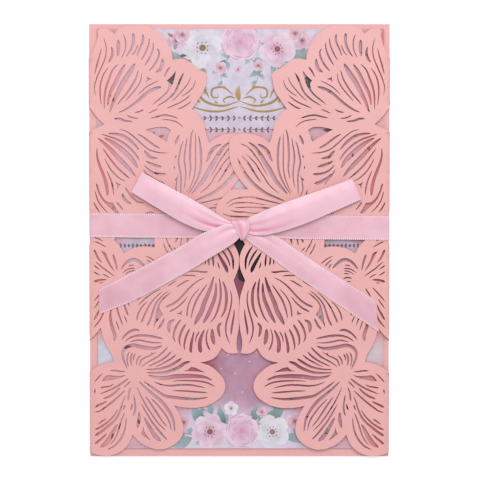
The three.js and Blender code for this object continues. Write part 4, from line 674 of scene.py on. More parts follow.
def cut_panel(tops, thickness):
    """The back panel, which meets the flaps at the seams just inside the folds."""
    seams = [side * (PAGE_WIDTH / 2 - top / 2 * PAGE_WIDTH / DRAWN_WIDTH) for side, top in zip((-1, 1), tops)]
    bare = PAGE_WIDTH / 2 - BARE_EDGE

    def right_edge(seam):
        points, place = [], 0.0
        for low, high in fold_stretches():
            points += [(bare, place), (bare, low)]
            points += [(seam, v) for v in seam_places(low, high)]
            place = high
        return points + [(bare, place), (bare, DRAWN_HEIGHT)]

    outline = np.array(right_edge(seams[1]) + [(-x, v) for x, v in right_edge(-seams[0])[::-1]], float)
    heights = sorted(set(np.arange(4, 180, 5.0)) | set(CLOSE_ROWS))
    inner = np.array([(x, v) for v in heights for x in np.linspace(-60, 60, 17)])
    flat, faces = triangulated(outline, [], inner)

    def is_seam(p):
        return (np.abs(p[:, 0] - seams[0]) < SEAM_NEAR) | (np.abs(p[:, 0] - seams[1]) < SEAM_NEAR)

    return thick_sheet(
        flat, faces, lambda x, v: panel_surface(x, v, seams[0], seams[1], thickness), thickness, is_seam, -1)


def folded_jacket(settings):
    """The whole jacket as one sheet of card, with its two laces folded over it."""
    thickness = settings.card_thickness / MM
    lift = settings.petal_lift / MM
    tops = [settings.lower_flap_top / MM, UPPER_FLAP_TOP]
    parts = [
        cut_flap(-1, tops[0], thickness, lift),
        cut_flap(1, tops[1], thickness, lift),
        cut_panel(tops, thickness),
    ]
    kinds = [kind for part in parts for kind in part[2]]
    jacket = mesh_object("folded_jacket", *joined(parts), jacket_materials(settings), kinds)
    weld(jacket.data, JACKET_WELD)
    jacket.data.set_sharp_from_angle(angle=math.radians(40))
    return jacket


def weld(mesh, distance_mm):
    """Joins the points of a mesh that lie within a short distance of each other."""
    made = bmesh.new()
    made.from_mesh(mesh)
    bmesh.ops.remove_doubles(made, verts=made.verts, dist=distance_mm * MM)
    bmesh.ops.dissolve_degenerate(made, edges=made.edges, dist=distance_mm * MM / 10)
    made.to_mesh(mesh)
    made.free()


# Materials.

def add(tree, kind, inputs=None, **settings):
    """A new node with its settings, its links and its fixed inputs."""
    made = tree.nodes.new(kind)
    for key, value in settings.items():
        setattr(made, key, value)
    for key, value in (inputs or {}).items():
        if isinstance(value, bpy.types.NodeSocket):
            tree.links.new(value, made.inputs[key])
        else:
            made.inputs[key].default_value = value
    return made


def math_of(tree, operation, *values):
    """The result of a sum on sockets or numbers."""
    made = tree.nodes.new("ShaderNodeMath")
    made.operation = operation
    for socket, value in zip(made.inputs, values):
        if isinstance(value, bpy.types.NodeSocket):
            tree.links.new(value, socket)
        else:
            socket.default_value = value
    return made.outputs[0]


def mixed(tree, factor, first, second, blend="MIX"):
    """A mix of two colours, each a socket or three numbers."""
    made = tree.nodes.new("ShaderNodeMix")
    made.data_type = "RGBA"
    made.blend_type = blend
    for name, value in (("Factor_Float", factor), ("A_Color", first), ("B_Color", second)):
        socket = next(s for s in made.inputs if s.identifier == name)
        if isinstance(value, bpy.types.NodeSocket):
            tree.links.new(value, socket)
        elif name == "Factor_Float":
            socket.default_value = value
        else:
            socket.default_value = (*value, 1)
    return next(s for s in made.outputs if s.identifier == "Result_Color")


def shaded(colour, light):
    """A colour made darker or lighter."""
    return tuple(min(1.0, c * light) for c in colour)


def start_material(name, **fixed):
    """A new material with its node tree, its shader and the place on the object."""
    material = bpy.data.materials.new(name)
    material.use_nodes = True
    tree = material.node_tree
    shader = tree.nodes["Principled BSDF"]
    for key, value in fixed.items():
        shader.inputs[key.replace("_", " ")].default_value = value
    place = add(tree, "ShaderNodeTexCoord").outputs["Object"]
    return material, tree, shader, place


def noise(tree, place, size_mm, detail=2.0, roughness=0.5):
    """Cloudy noise with lumps of about the given size."""
    inputs = {"Vector": place, "Scale": 1 / (size_mm * MM), "Detail": detail, "Roughness": roughness}
    return add(tree, "ShaderNodeTexNoise", inputs).outputs["Fac"]


def ranged(tree, value, low, high, out_low=0.0, out_high=1.0):
    """A value brought from one range into another."""
    inputs = {"Value": value, "From Min": low, "From Max": high, "To Min": out_low, "To Max": out_high}
    return add(tree, "ShaderNodeMapRange", inputs).outputs[0]


def jacket_materials(settings):
    """Pearly card for the faces, with lighter flecks painted in as the pearl's glints, and the toasted edge
    that the laser leaves, its colour deepened into painted shade for the slits.
    """
    colour = tuple(settings.card_colour)
    pearl, tree, shader, place = start_material(
        "pearly_card", Coat_Weight=0.12, Coat_Roughness=0.35, Specular_IOR_Level=0.5)
    cloud = noise(tree, place, 14, detail=3)
    glint_fleck = ranged(tree, noise(tree, place, 0.16, detail=1), 0.52, 0.75)
    fibre = noise(tree, place, 0.5, detail=4, roughness=0.7)
    tint = mixed(tree, ranged(tree, cloud, 0.35, 0.65), shaded(colour, 0.975), shaded(colour, 1.02))
    tint = mixed(tree, ranged(tree, fibre, 0.3, 0.7, 0.0, 0.25), tint, shaded(colour, 0.93))
    # Painted glints: lighter flecks stand in for the pearl's shimmer; the same flecks are also less rough.
    tint = mixed(tree, ranged(tree, glint_fleck, 0, 1, 0.0, 0.35), tint, shaded(colour, 1.12))
    tree.links.new(tint, shader.inputs["Base Color"])
    tree.links.new(ranged(tree, glint_fleck, 0, 1, 0.47, 0.3), shader.inputs["Roughness"])
    bump = add(tree, "ShaderNodeBump", {"Height": fibre, "Strength": 0.35, "Distance": 0.00003})
    tree.links.new(bump.outputs[0], shader.inputs["Normal"])

    # The cut edge is partly its real laser toast and partly painted shade: its colour is deepened so that the
    # slits look darker.
    edge_colour = tuple(settings.edge_colour)
    edge, tree, shader, place = start_material("laser_cut_edge", Roughness=0.8)
    patches = ranged(tree, noise(tree, place, 1.5), 0.35, 0.65)
    toast_and_slit_shade = mixed(tree, patches, shaded(edge_colour, 0.8), edge_colour)
    tree.links.new(toast_and_slit_shade, shader.inputs["Base Color"])
    grain = add(tree, "ShaderNodeBump", {
        "Height": noise(tree, place, 0.12, detail=3), "Strength": 0.5, "Distance": 0.00003})
    tree.links.new(grain.outputs[0], shader.inputs["Normal"])
    return [pearl, edge]


def print_material():
    """Matt card coloured by the print's own colours, which also carry painted shade and light."""
    material, tree, shader, place = start_material("printed_paper", Specular_IOR_Level=0.35)
    ink_and_painted_light = add(tree, "ShaderNodeVertexColor", layer_name=INK_AND_PAINTED_LIGHT).outputs["Color"]
    bloom = noise(tree, place, 3.5, detail=5, roughness=0.65)
    grain = noise(tree, place, 0.35, detail=3, roughness=0.6)
    wash = mixed(tree, ranged(tree, bloom, 0.45, 0.7, 0.0, 0.9), ink_and_painted_light, (1.12, 1.11, 1.12), "MULTIPLY")
    wash = mixed(tree, ranged(tree, bloom, 0.5, 0.25, 0.0, 0.28), wash, (0.66, 0.54, 0.62), "MULTIPLY")
    wash = mixed(tree, ranged(tree, grain, 0.3, 0.7, 0.0, 0.8), wash, (1.05, 1.05, 1.05), "MULTIPLY")
    tree.links.new(wash, shader.inputs["Base Color"])
    tree.links.new(ranged(tree, grain, 0.3, 0.7, 0.55, 0.7), shader.inputs["Roughness"])
    bump = add(tree, "ShaderNodeBump", {"Height": grain, "Strength": 0.3, "Distance": 0.00003})
    tree.links.new(bump.outputs[0], shader.inputs["Normal"])
    return material


def satin_material(settings):
    """Satin with a fine lengthways weave, painted shade in its creases and where parts lie in shadow, a
    mottle of painted reflection, and looped edges.
    """
    pink, shade_pink = tuple(settings.satin_colour), tuple(settings.satin_shade)
    material, tree, shader, place = start_material(
        "pink_satin", Roughness=0.33, Anisotropic=0.55, Sheen_Weight=0.25, Sheen_Roughness=0.4,
        Specular_IOR_Level=0.6)
    shader.inputs["Sheen Tint"].default_value = (*paint(255, 225, 236), 1)
    along_across = add(tree, "ShaderNodeUVMap", uv_map=WEAVE).outputs["UV"]
    split = add(tree, "ShaderNodeSeparateXYZ", {"Vector": along_across})
    along, across = split.outputs["X"], split.outputs["Y"]
    # A broad mottle of painted reflection, added to the painted shade.
    reflection_mottle = noise(tree, place, 9, detail=2)
    shade_channels = add(tree, "ShaderNodeSeparateColor", {
        "Color": add(tree, "ShaderNodeVertexColor", layer_name=CREASE_AND_CAST_SHADE).outputs["Color"]})
    shade_share = math_of(tree, "ADD", shade_channels.outputs["Green"], ranged(tree, reflection_mottle, 0.35, 0.65, -0.2, 0.2))
    # Painted shade where parts of the ribbon lie in shadow: the band and the tails' ends take the shade
    # colour.
    colour = mixed(tree, ranged(tree, shade_share, 0, 1), pink, shade_pink)
    # Painted shade deep in the creases, a deeper pink as light bounces in the folds.
    colour = mixed(tree, shade_channels.outputs["Red"], colour, tuple(settings.crease_shade_colour))
    drawn_out = add(tree, "ShaderNodeMapping", {"Vector": along_across, "Scale": (0.5, 9.0, 1.0)}).outputs[0]
    weave = {"Vector": drawn_out, "Scale": 1.0, "Detail": 2.0}
    threads = add(tree, "ShaderNodeTexNoise", weave).outputs["Fac"]
    colour = mixed(tree, ranged(tree, threads, 0.3, 0.7, 0.0, 0.10), colour, shaded(pink, 0.8))
    # Looped edges: small pale beads along both edges of the ribbon, with painted shade in the gaps between
    # them.
    from_edge = math_of(tree, "MINIMUM", across, math_of(tree, "SUBTRACT", RIBBON_WIDTH, across))
    at_edge = ranged(tree, from_edge, 0.8, 0.5)
    wave = math_of(tree, "SINE", math_of(tree, "MULTIPLY", along, 2 * math.pi / BEAD_PITCH))
    bead = math_of(tree, "MULTIPLY", at_edge, ranged(tree, wave, -0.6, 0.8))
    gap_shade = math_of(tree, "MULTIPLY", at_edge, ranged(tree, wave, 0.2, -0.8))
    colour = mixed(tree, math_of(tree, "MULTIPLY", bead, 0.85), colour, paint(255, 234, 241))
    colour = mixed(tree, math_of(tree, "MULTIPLY", gap_shade, 0.7), colour, shaded(pink, 0.7))
    tree.links.new(colour, shader.inputs["Base Color"])
    height = math_of(tree, "ADD", math_of(tree, "MULTIPLY", threads, 0.25), bead)
    bump = add(tree, "ShaderNodeBump", {"Height": height, "Strength": 0.45, "Distance": 0.00008})
    tree.links.new(bump.outputs[0], shader.inputs["Normal"])
    tangent = add(tree, "ShaderNodeTangent", direction_type="UV_MAP", uv_map=WEAVE)
    tree.links.new(tangent.outputs[0], shader.inputs["Tangent"])
    return material


# The printed card. Its colours are screen values from 0 to 255.

INK_AND_PAINTED_LIGHT = "print_ink_and_painted_light"
PAPER = (218, 208, 224)
CARD_LEFT, CARD_RIGHT = -60.0, 61.0
CARD_FOOT, CARD_HEAD = 3.4, 180.9

# Soft washes of colour, the first two of them painted shade under the flaps: centre across and up the page,
# half-sizes, colour and strength.
WASHES_AND_SIDE_SHADE = [
    (-44, 120, 30, 60, (205, 190, 212), 0.9), (44, 110, 30, 60, (206, 182, 198), 0.9),
    (0, 160, 32, 22, (212, 205, 222), 0.8), (0, 58, 26, 20, (158, 90, 114), 0.95),
    (3, 84, 20, 17, (120, 62, 84), 0.75), (0, 33, 16, 16, (184, 140, 164), 0.95),
    (-19.5, 42, 11, 12, (150, 74, 94), 0.95), (23, 43, 10, 13, (150, 78, 98), 0.9),
    (-6, 45, 7, 8, (184, 150, 178), 0.35), (7, 30, 7, 11, (190, 138, 164), 0.6),
    (-24, 28, 9, 8, (176, 116, 140), 0.8), (25, 27, 9, 8, (176, 116, 140), 0.8),
    (0, 9, 26, 9, (214, 204, 222), 0.85), (-36, 14, 14, 12, (190, 150, 176), 0.7),
    (36, 14, 14, 12, (190, 150, 176), 0.7), (0, 139, 17, 9, (206, 186, 206), 0.4),
    (-50, 60, 16, 22, (176, 118, 136), 0.7), (50, 60, 16, 22, (180, 116, 130), 0.7),
]
# The warm light inside the folds, then the pale places in the folds' notches and beside the ribbon, and last
# the rose-coloured corners of the lower opening.
CLEARINGS = [
    (-61.5, 91, 9, 150, (222, 118, 108), 0.75), (61.5, 91, 9, 150, (222, 118, 108), 0.75),
    (-57, 44, 7, 9, (206, 214, 228), 0.95), (57, 44, 7, 9, (214, 206, 214), 0.9),
    (-59.5, 143, 7, 7, (204, 186, 196), 0.9), (59.5, 143, 7, 7, (232, 186, 188), 0.9),
    (-43, 88, 10, 5, (190, 188, 210), 0.8), (43, 88, 10, 5, (190, 184, 204), 0.8),
    (-17.5, 44, 7, 9, (156, 84, 102), 0.85), (19.5, 42, 7, 9, (176, 106, 128), 0.6),
]
# The painted shade, tinted by the pink light bounced off the lace, that the print takes under the lace, and
# how strongly.
UNDER_LACE_SHADE = (214, 148, 154)
UNDER_LACE_SHADE_SHARE = 0.48


def lace_reach(v):
    """How far the flaps reach over the card at each height, from the folds."""
    edge = smooth_edge(FLAP_EDGE, EDGE_STEP, OUTLINE_CORNER)
    heights = np.arange(0, DRAWN_HEIGHT + 1.0)
    reach = [max([u for u, w in edge if abs(w - height) < 1.3], default=0) for height in heights]
    return np.interp(v, heights, reach)


def wash_colour(x, v):
    """The soft ground of the print, with painted shade under the lace and painted warm light in the folds, as
    screen values.
    """
    ground = np.empty((len(x), 3))
    ground[:] = PAPER

    def washed(washes):
        for cx, cv, rx, rv, colour, strength in washes:
            reach = ((x - cx) / rx) ** 2 + ((v - cv) / rv) ** 2
            share = (strength * np.exp(-reach ** 1.5))[:, None]
            ground[:] = ground * (1 - share) + np.array(colour) * share

    washed(WASHES_AND_SIDE_SHADE)
    # Painted shade under the lace, rising over 7 mm in from the flaps' edges.
    lace_shade = UNDER_LACE_SHADE_SHARE * eased(np.abs(x) - (PAGE_WIDTH / 2 - lace_reach(v)), 0, 7)[:, None]
    ground[:] = ground * (1 - lace_shade) + np.array(UNDER_LACE_SHADE) * lace_shade
    washed(CLEARINGS)
    return ground


class Inked:
    """One shape of the print: its outline, and colours from its heart to its rim."""

    def __init__(self, outline, heart, reach, near, far, cover=1.0, power=1.0):
        self.outline, self.heart = np.asarray(outline, float), np.array(heart, float)
        self.reach, self.near, self.far = reach, np.array(near, float), np.array(far, float)
        self.cover, self.power = cover, power


def petal_outline(heart, turn, length, width, notch=0.1):
    """The outline of a broad petal that grows from the heart of its flower."""
    t = np.linspace(0.04, 1, 12)
    half = width / 2 * np.sin(math.pi * np.clip(t, 0, 0.96) ** 1.35) ** 0.62
    reach = length * (t - notch * np.clip((t - 0.9) / 0.1, 0, 1) * 0.5)
    side = np.stack([reach, half], axis=1)
    shape = np.concatenate([side, (side * [1, -1])[::-1]])
    c, s = math.cos(turn), math.sin(turn)
    return shape @ np.array([[c, s], [-s, c]]) + heart


def flower(heart, size, near, far, petals=5, turn=0.0, eye=(150, 110, 80), rings=2):
    """A flower of broad overlapping petals with a small dotted eye."""
    made = []
    for ring in range(rings):
        length = size * (1 - 0.34 * ring)
        for i in range(petals):
            angle = turn + (i + 0.5 * ring) * 2 * math.pi / petals
            shade = 1 - 0.05 * (i % 2) - 0.03 * ring
            outline = petal_outline(heart, angle, length, length * 4.3 / petals)
            made.append(Inked(outline, heart, length, near, np.array(far) * shade, 0.94, 0.8 + 0.3 * (i % 2)))
    ring = np.linspace(0, 2 * math.pi, 13)[:-1]
    dot = np.stack([np.cos(ring), np.sin(ring)], axis=1)
    made.append(Inked(dot * size * 0.15 + heart, heart, size * 0.15, eye, np.array(eye) * 0.85, 0.95))
    for i in range(9):
        way = turn + i * 2 * math.pi / 9
        place = np.array(heart) + np.array([math.cos(way), math.sin(way)]) * size * (0.24 + 0.05 * (i % 2))
        made.append(Inked(dot[::2] * size * 0.035 + place, place, 1, np.array(eye) * 0.6, eye, 0.9))
    return made


def rose(heart, size, near, far, turn=0.0):
    """A full rose: rings of petals with lines between, each ring smaller, turned and deeper in colour."""
    near, far = np.array(near, float), np.array(far, float)
    made = []
    for ring, (share, count) in enumerate(((1.0, 7), (0.8, 6), (0.6, 5), (0.42, 4), (0.25, 3))):
        for i in range(count):
            angle = turn + ring * 0.5 + i * 2 * math.pi / count
            rim = far * (1 - ring / 9) + near * ring / 9
            outline = petal_outline(heart, angle, size * share, size * share * 5.2 / count, 0.2)
            made.append(Inked(outline, heart, size * share, near, rim, 0.96, 0.8))
        for i in range(count):
            start = turn + ring * 0.5 + (i + 0.5) * 2 * math.pi / count
            reach = size * share * (0.9 - 0.06 * (i % 3))
            angles = [start + k * 0.2 for k in range(4 + i % 2)]
            arc = [(heart[0] + reach * math.cos(a), heart[1] + reach * math.sin(a)) for a in angles]
            made += stroke(arc, size * 0.06, near * 0.96, 0.45)
    return made


def leaf(foot, tip, width, near=(124, 148, 150), far=(178, 194, 200), cover=0.85):
    """A slightly bowed leaf from its foot to its tip."""
    foot, tip = np.array(foot, float), np.array(tip, float)
    way = tip - foot
    across = np.array([-way[1], way[0]]) / np.linalg.norm(way)
    t = np.linspace(0, 1, 9)[:, None]
    half = width / 2 * np.sin(math.pi * t ** 0.8)
    bow = across * np.sin(math.pi * t) * width * 0.25
    line = foot + way * t + bow
    outline = np.concatenate([line + across * half, (line - across * half)[-2:0:-1]])
    return [Inked(outline, foot, np.linalg.norm(way), near, far, cover)]


def stroke(points, width, colour, cover=0.9, belly=0.5):
    """A thin painted line, pointed at both ends."""
    length = np.linalg.norm(np.diff(np.array(points, float), axis=0), axis=1).sum()
    outline = cut_outline([width, belly, *np.ravel(points)], min(0.9, length / 4))
    return [Inked(outline, points[0], 1, colour, colour, cover)]


def sprig(points, leaves, length, width, colour=(112, 136, 140), far=(174, 192, 198)):
    """A stem with leaves on alternate sides."""
    line = smooth_line(points, 0.6)
    made = stroke(points, 0.35, colour, 0.8, 0.2)
    for i in range(leaves):
        at = int((i + 0.8) / leaves * (len(line) - 2))
        way = line[at + 1] - line[at]
        way /= np.linalg.norm(way)
        side = np.array([-way[1], way[0]]) * (1 if i % 2 else -1)
        tip = line[at] + (way * 0.6 + side * 0.8) * length * (1 - 0.35 * i / leaves)
        made += leaf(line[at], tip, width * (1 - 0.35 * i / leaves), colour, far, 0.8)
    return made


def print_shapes():
    """The generic flower print, from the lowest shape to the topmost."""
    gold, dark, teal = (164, 132, 78), (92, 62, 74), (70, 102, 102)
    blush, deep = (208, 146, 176), (198, 122, 152)
    made = []
    for side in (-1, 1):
        made += sprig([(side * 6, 176), (side * 22, 170), (side * 31, 158), (side * 29, 147)], 9, 7.0, 3.4)
        made += sprig([(side * 2, 172), (side * 8, 163), (side * 7, 157.5)], 5, 4.6, 2.2)
        made += sprig([(side * 13, 168), (side * 18, 161), (side * 16, 155)], 6, 4.8, 2.4)
        made += leaf((side * 22, 167), (side * 36, 173), 6.5)
        made += leaf((side * 20, 165), (side * 30, 163), 5.0, teal, (170, 188, 192))
        made += leaf((side * 31.4, 163.6), (side * 26.4, 155.6), 5.6, (66, 66, 68), (92, 94, 96), 0.95)
        made += leaf((side * 22, 160), (side * 29, 159), 2.8, (70, 72, 66), (110, 114, 104))
        made += flower((side * 26.5, 176), 4.4, deep, (234, 206, 222), 5, 0.4 * side)
        made += flower((side * 31, 164), 3.2, deep, (230, 196, 212), 5, 0.4 * side)
        made += stroke([(side * 52, 178), (side * 54, 174), (side * 51, 171)], 0.9, gold)
    made += leaf((-6, 168), (-12, 162), 3.4, teal, (170, 188, 192))
    made += leaf((10, 167), (4, 160.5), 3.2, teal, (170, 188, 192))
    made += flower((-15.5, 173), 9.4, (208, 200, 216), (234, 231, 238), 6, 0.3, (160, 128, 96))
    made += flower((16, 172.5), 8.2, blush, (240, 220, 234), 5, 0.9, (150, 92, 86))
    made += rose((0.5, 175.5), 9.0, (206, 138, 170), (240, 216, 230))
    for x, v, size in (
            (-24, 178.5, 3.6), (8, 165.5, 2.6), (-8, 164.5, 3.0), (23.5, 179, 3.6), (-0.5, 163.8, 1.8)):
        made += flower((x, v), size, deep, (238, 214, 226), 5, x * 0.2)
    # Small brown and dark leaves that show here and there through the lace.
    scatter = np.random.default_rng(11)
    for side in (-1, 1):
        above = scatter.uniform((22, 96), (58, 178), (34, 2))
        below = scatter.uniform((26, 8), (57, 78), (26, 2))
        for i, (x, v) in enumerate(np.concatenate([above, below])):
            way, length = scatter.uniform(0, 2 * math.pi), scatter.uniform(2.4, 4.6)
            near, far = (((150, 92, 66), (184, 130, 92)), ((72, 54, 62), (104, 84, 92)),
                         ((112, 128, 128), (160, 176, 178)))[i % 3]
            tip = (side * (x + length * math.cos(way)), v + length * math.sin(way))
            made += leaf((side * x, v), tip, length * 0.4, near, far, 0.85)
    # A gold flourish of scrolls with a drop in the middle.
    for side in (-1, 1):
        for width, line in (
                (0.95, [
                    (0, 150.6), (7, 148.6), (14, 150.2), (20, 154.6), (22.4, 152.2), (20, 150.4),
                    (18.6, 152)]),
                (0.8, [(2.4, 153), (7, 156.4), (11.6, 155.2), (11.4, 152.4), (9, 152.2), (9.2, 154)]),
                (0.8, [(12.6, 151.6), (15, 155.6), (18, 156.6), (18.4, 154.8), (16.8, 154.6)]),
                (0.7, [(1.2, 151.6), (4.4, 152.4), (6.8, 150.8), (5.6, 149.8)]),
                (0.8, [(0, 148.4), (9, 146.2), (18, 147.6), (22, 149.4)])):
            made += stroke([(side * x, v) for x, v in line], width, gold)
        for x, v, size in (
                (5.4, 155.8, 1.3), (13.4, 153.6, 1.1), (16.4, 150, 1.1), (20.6, 156, 1.2), (9, 149.6, 1.0)):
            made += leaf((side * x, v), (side * (x + 1.6), v + 1.5), size, gold, (196, 164, 108), 0.95)
    made += leaf((0, 150.5), (0, 157.4), 2.4, gold, (200, 170, 116), 0.95)
    # Garlands: thin stems with pairs of small dark leaves that point away from the middle.
    for v, reach, tall in (
            (143.4, 17, 1.15), (138.5, 17, 1.15), (121.5, 9, 0.9), (89.6, 50, 0.8), (51, 9, 0.8)):
        for side in (-1, 1):
            made += stroke([(side * 1.2, v), (side * reach / 2, v + 0.15), (side * reach, v)], 0.3, dark, 0.7)
            for i, x in enumerate(np.arange(1.6, reach, 2.15 * tall)):
                for way in (-1, 1):
                    tip = (side * (x + 1.0 * tall), v + way * tall * (0.95 + 0.2 * math.sin(i * 2.1)))
                    made += stroke([(side * x, v), tip], 0.62, dark, 0.85, 0.6)
        made += leaf((-0.7, v), (0.7, v), 0.9, gold, gold, 0.9)
    made += stroke([(-15, 129), (-6, 128), (0, 128.6), (6, 128), (15, 129)], 0.6, gold)
    for x in (-12, -8, -4, 0, 4, 8, 12):
        made += leaf((x, 128.4), (x + 1.5, 130), 1.1, gold, (190, 156, 104), 0.85)
    # The deep plum flower in the middle of the page.
    made += flower((3, 83), 17, (96, 40, 60), (160, 92, 118), 6, 0.25, (46, 20, 28), 2)
    made += flower((4.6, 82.6), 9.4, (22, 8, 13), (36, 14, 21), 7, 0.7, (24, 9, 14), 2)
    made += flower((0, 90), 4.8, (22, 8, 13), (34, 13, 19), 6, 0.2, (24, 9, 14), 1)
    # Pale specks, and the flowers at the foot.
    for side in (-1, 1):
        for x, v in scatter.normal((side * 19, 43), (4.5, 4.5), (70, 2)):
            made += leaf((x, v), (x + 0.35, v + 0.35), 0.42, (196, 132, 150), (214, 160, 172), 0.6)
    for x, v in ((-5, 43), (4, 40), (-2, 35), (6, 31), (-7, 30), (1, 27), (7, 44), (-8, 37)):
        made += leaf((x, v), (x + 0.7, v + 0.7), 0.6, (226, 208, 224), (236, 222, 236), 0.7)
    for side in (-1, 1):
        made += sprig([(side * 3, 11), (side * 13, 19), (side * 22, 24), (side * 29, 31)], 8, 6.4, 3.0)
        made += sprig([(side * 8, 7), (side * 24, 10), (side * 38, 12)], 7, 5.4, 2.8)
        made += leaf((side * 14, 14), (side * 20, 22.5), 4.6, teal, (170, 188, 192))
        made += leaf((side * 6, 14), (side * 8.4, 22.4), 3.2, teal, (170, 188, 192))
        made += leaf((side * 20, 8), (side * 31, 5.5), 4.8)
    made += flower((-12.5, 10.5), 8.2, blush, (240, 220, 234), 6, 0.2, (150, 100, 84))
    made += flower((14, 10.5), 7.8, (208, 200, 216), (234, 231, 238), 5, 0.7, (160, 128, 96))
    made += rose((1, 11), 8.2, (206, 138, 170), (240, 216, 230), 0.4)
    made += flower((-3.5, 20.5), 3.2, (216, 196, 214), (242, 234, 242), 5, 0.3)
    made += flower((23.5, 15), 3.8, deep, (234, 204, 220), 5, 0.1)
    made += flower((-23.5, 14.5), 3.4, deep, (236, 208, 222), 5, 0.5)
    made += flower((9.5, 19), 2.4, deep, (236, 208, 222), 5, 0.9)
    return made


def printed_card():
    """The loose card: one sheet with thickness whose front carries the print."""
    shapes = print_shapes()
    across, up = np.linspace(CARD_LEFT, CARD_RIGHT, 59), np.linspace(CARD_FOOT, CARD_HEAD, 86)
    outline = np.array(
        [(x, CARD_FOOT) for x in across[:-1]] + [(CARD_RIGHT, v) for v in up[:-1]]
        + [(x, CARD_HEAD) for x in across[:0:-1]] + [(CARD_LEFT, v) for v in up[:0:-1]])
    coarse = [(x, v) for x in np.arange(CARD_LEFT + 1.3, CARD_RIGHT - 0.5, 2.1)
              for v in np.arange(CARD_FOOT + 1.3, CARD_HEAD - 0.5, 2.1)]
    fine = [(x, v) for x in np.arange(-30, 30, 1.0) for v in (
        *np.arange(5, 50, 1.0), *np.arange(70, 92, 1.0), *np.arange(144, 180, 1.0))]
    extra = np.array(coarse + fine) + 0.013
    clipped = [np.stack([
        np.clip(s.outline[:, 0], CARD_LEFT + 0.05, CARD_RIGHT - 0.05),
        np.clip(s.outline[:, 1], CARD_FOOT + 0.05, CARD_HEAD - 0.05)], axis=1) for s in shapes]
    flat, faces = triangulated(outline, clipped, extra)
    owner = inside_any(flat[faces].mean(axis=1), clipped)

    corners = flat[faces].reshape(-1, 2)
    # Besides the print, the ground carries painted shade under the lace and painted warm light in the folds.
    ink_and_painted_light = wash_colour(corners[:, 0], corners[:, 1])
    for i in np.unique(owner[owner >= 0]):
        shape = shapes[i]
        mine = np.repeat(owner == i, 3)
        share = np.linalg.norm(corners[mine] - shape.heart, axis=1) / shape.reach
        share = np.clip(share, 0, 1)[:, None] ** shape.power
        painted = shape.near * (1 - share) + shape.far * share
        ink_and_painted_light[mine] = ink_and_painted_light[mine] * (1 - shape.cover) + painted * shape.cover

    front = np.column_stack([
        flat[:, 0], flat[:, 1] * PAGE_HEIGHT / DRAWN_HEIGHT - PAGE_HEIGHT / 2, np.full(len(flat), CARD_TOP)])
    back = front - [0, 0, CARD_TOP - CARD_LOW.z / MM]
    rim = open_edges(faces)
    count = len(flat)
    walls = np.stack([rim[:, 1], rim[:, 0], rim[:, 0] + count, rim[:, 1] + count], axis=1)
    all_faces = faces.tolist() + (faces[:, ::-1] + count).tolist() + walls.tolist()
    card = mesh_object("printed_card", np.concatenate([front, back]), all_faces, [print_material()])
    layer = card.data.color_attributes.new(INK_AND_PAINTED_LIGHT, "FLOAT_COLOR", "CORNER")
    values = np.ones((len(card.data.loops), 4))
    values[:, :3] = np.array([paint(*PAPER)])
    shares = np.clip(ink_and_painted_light / 255, 0, 1)
    values[:len(ink_and_painted_light), :3] = as_light(shares)
    layer.data.foreach_set("color", values.ravel())
    card.data.set_sharp_from_angle(angle=math.radians(40))
    return card


# The ribbon.

WEAVE = "weave"
CREASE_AND_CAST_SHADE = "creases"
RIBBON_WIDTH = 9.8
RIBBON_THICKNESS = 0.16
BEAD_PITCH = 0.85
ROW_STEP = 1.0
ACROSS = 15  # points across the ribbon
RIBBON_WELD = 0.002

# Lines across the ribbon as it is seen: the upper edge's x and height up the page, then the lower edge's,
# then how high the middle stands, and how much it bulges and creases there.
LEFT_TAIL = [
    (-59.3, 71.1, -59.3, 60.6, 2.12, 0.15, 0.05), (-50.8, 75.5, -46.3, 65.7, 2.28, 0.35, 0.05),
    (-42.3, 79.9, -37.9, 69.9, 2.5, 0.45, 0.1), (-33.6, 84.6, -29.1, 74.7, 2.7, 0.4, 0.1),
    (-23.5, 90.1, -18.8, 80.5, 3.0, 0.4, 0.1), (-17.2, 94.1, -12.6, 84.4, 3.7, 0.45, 0.1),
    (-10.5, 97.0, -6.6, 88.1, 4.5, 0.5, 0.25), (-5.2, 98.9, -1.7, 91.4, 4.7, 0.4, 0.4),
    (-1.0, 98.6, 0.6, 93.6, 4.4, 0.1, 0.4),
]
RIGHT_TAIL = [
    (57.4, 66.4, 59.1, 53.1, 2.76, 0.1, 0.05), (46.5, 73.3, 42.0, 64.5, 2.88, 0.3, 0.05),
    (34.2, 81.1, 30.5, 72.4, 3.0, 0.5, 0.1), (25.4, 87.0, 20.5, 79.3, 3.1, 0.5, 0.1),
    (15.3, 93.7, 10.8, 86.5, 3.15, 0.4, 0.2), (9.5, 96.5, 5.2, 90.6, 3.15, 0.3, 0.4),
    (4.5, 97.4, 2.4, 92.8, 3.1, 0.1, 0.5), (1.2, 97.5, 0.4, 94.2, 3.05, 0.0, 0.4),
]
LEFT_LOOP = [
    (-40.5, 120.4, -44.9, 112.0, 4.3, 0.25, 0.0), (-30.0, 114.7, -34.9, 105.9, 5.0, 0.5, 0.05),
    (-18.4, 108.4, -22.6, 98.9, 5.1, 0.6, 0.35), (-11.5, 104.3, -14.8, 96.0, 4.3, 0.5, 0.9),
    (-7.0, 101.4, -9.5, 95.8, 3.7, 0.4, 1.0), (-3.6, 99.8, -4.5, 96.4, 3.5, 0.2, 0.7),
    (-0.5, 98.9, -0.8, 96.2, 3.4, 0.0, 0.4),
]
RIGHT_LOOP = [
    (46.9, 117.7, 50.7, 109.0, 4.5, 0.25, 0.0), (36.0, 113.7, 39.8, 104.2, 5.1, 0.5, 0.05),
    (20.4, 108.3, 24.5, 97.9, 5.3, 0.7, 0.25), (12.5, 105.3, 15.5, 95.2, 5.0, 0.7, 0.6),
    (8.0, 103.3, 9.5, 94.1, 4.5, 0.6, 0.9), (4.1, 101.4, 4.4, 94.6, 4.1, 0.3, 0.8),
    (1.5, 98.9, 1.2, 96.4, 3.7, 0.0, 0.4),
]
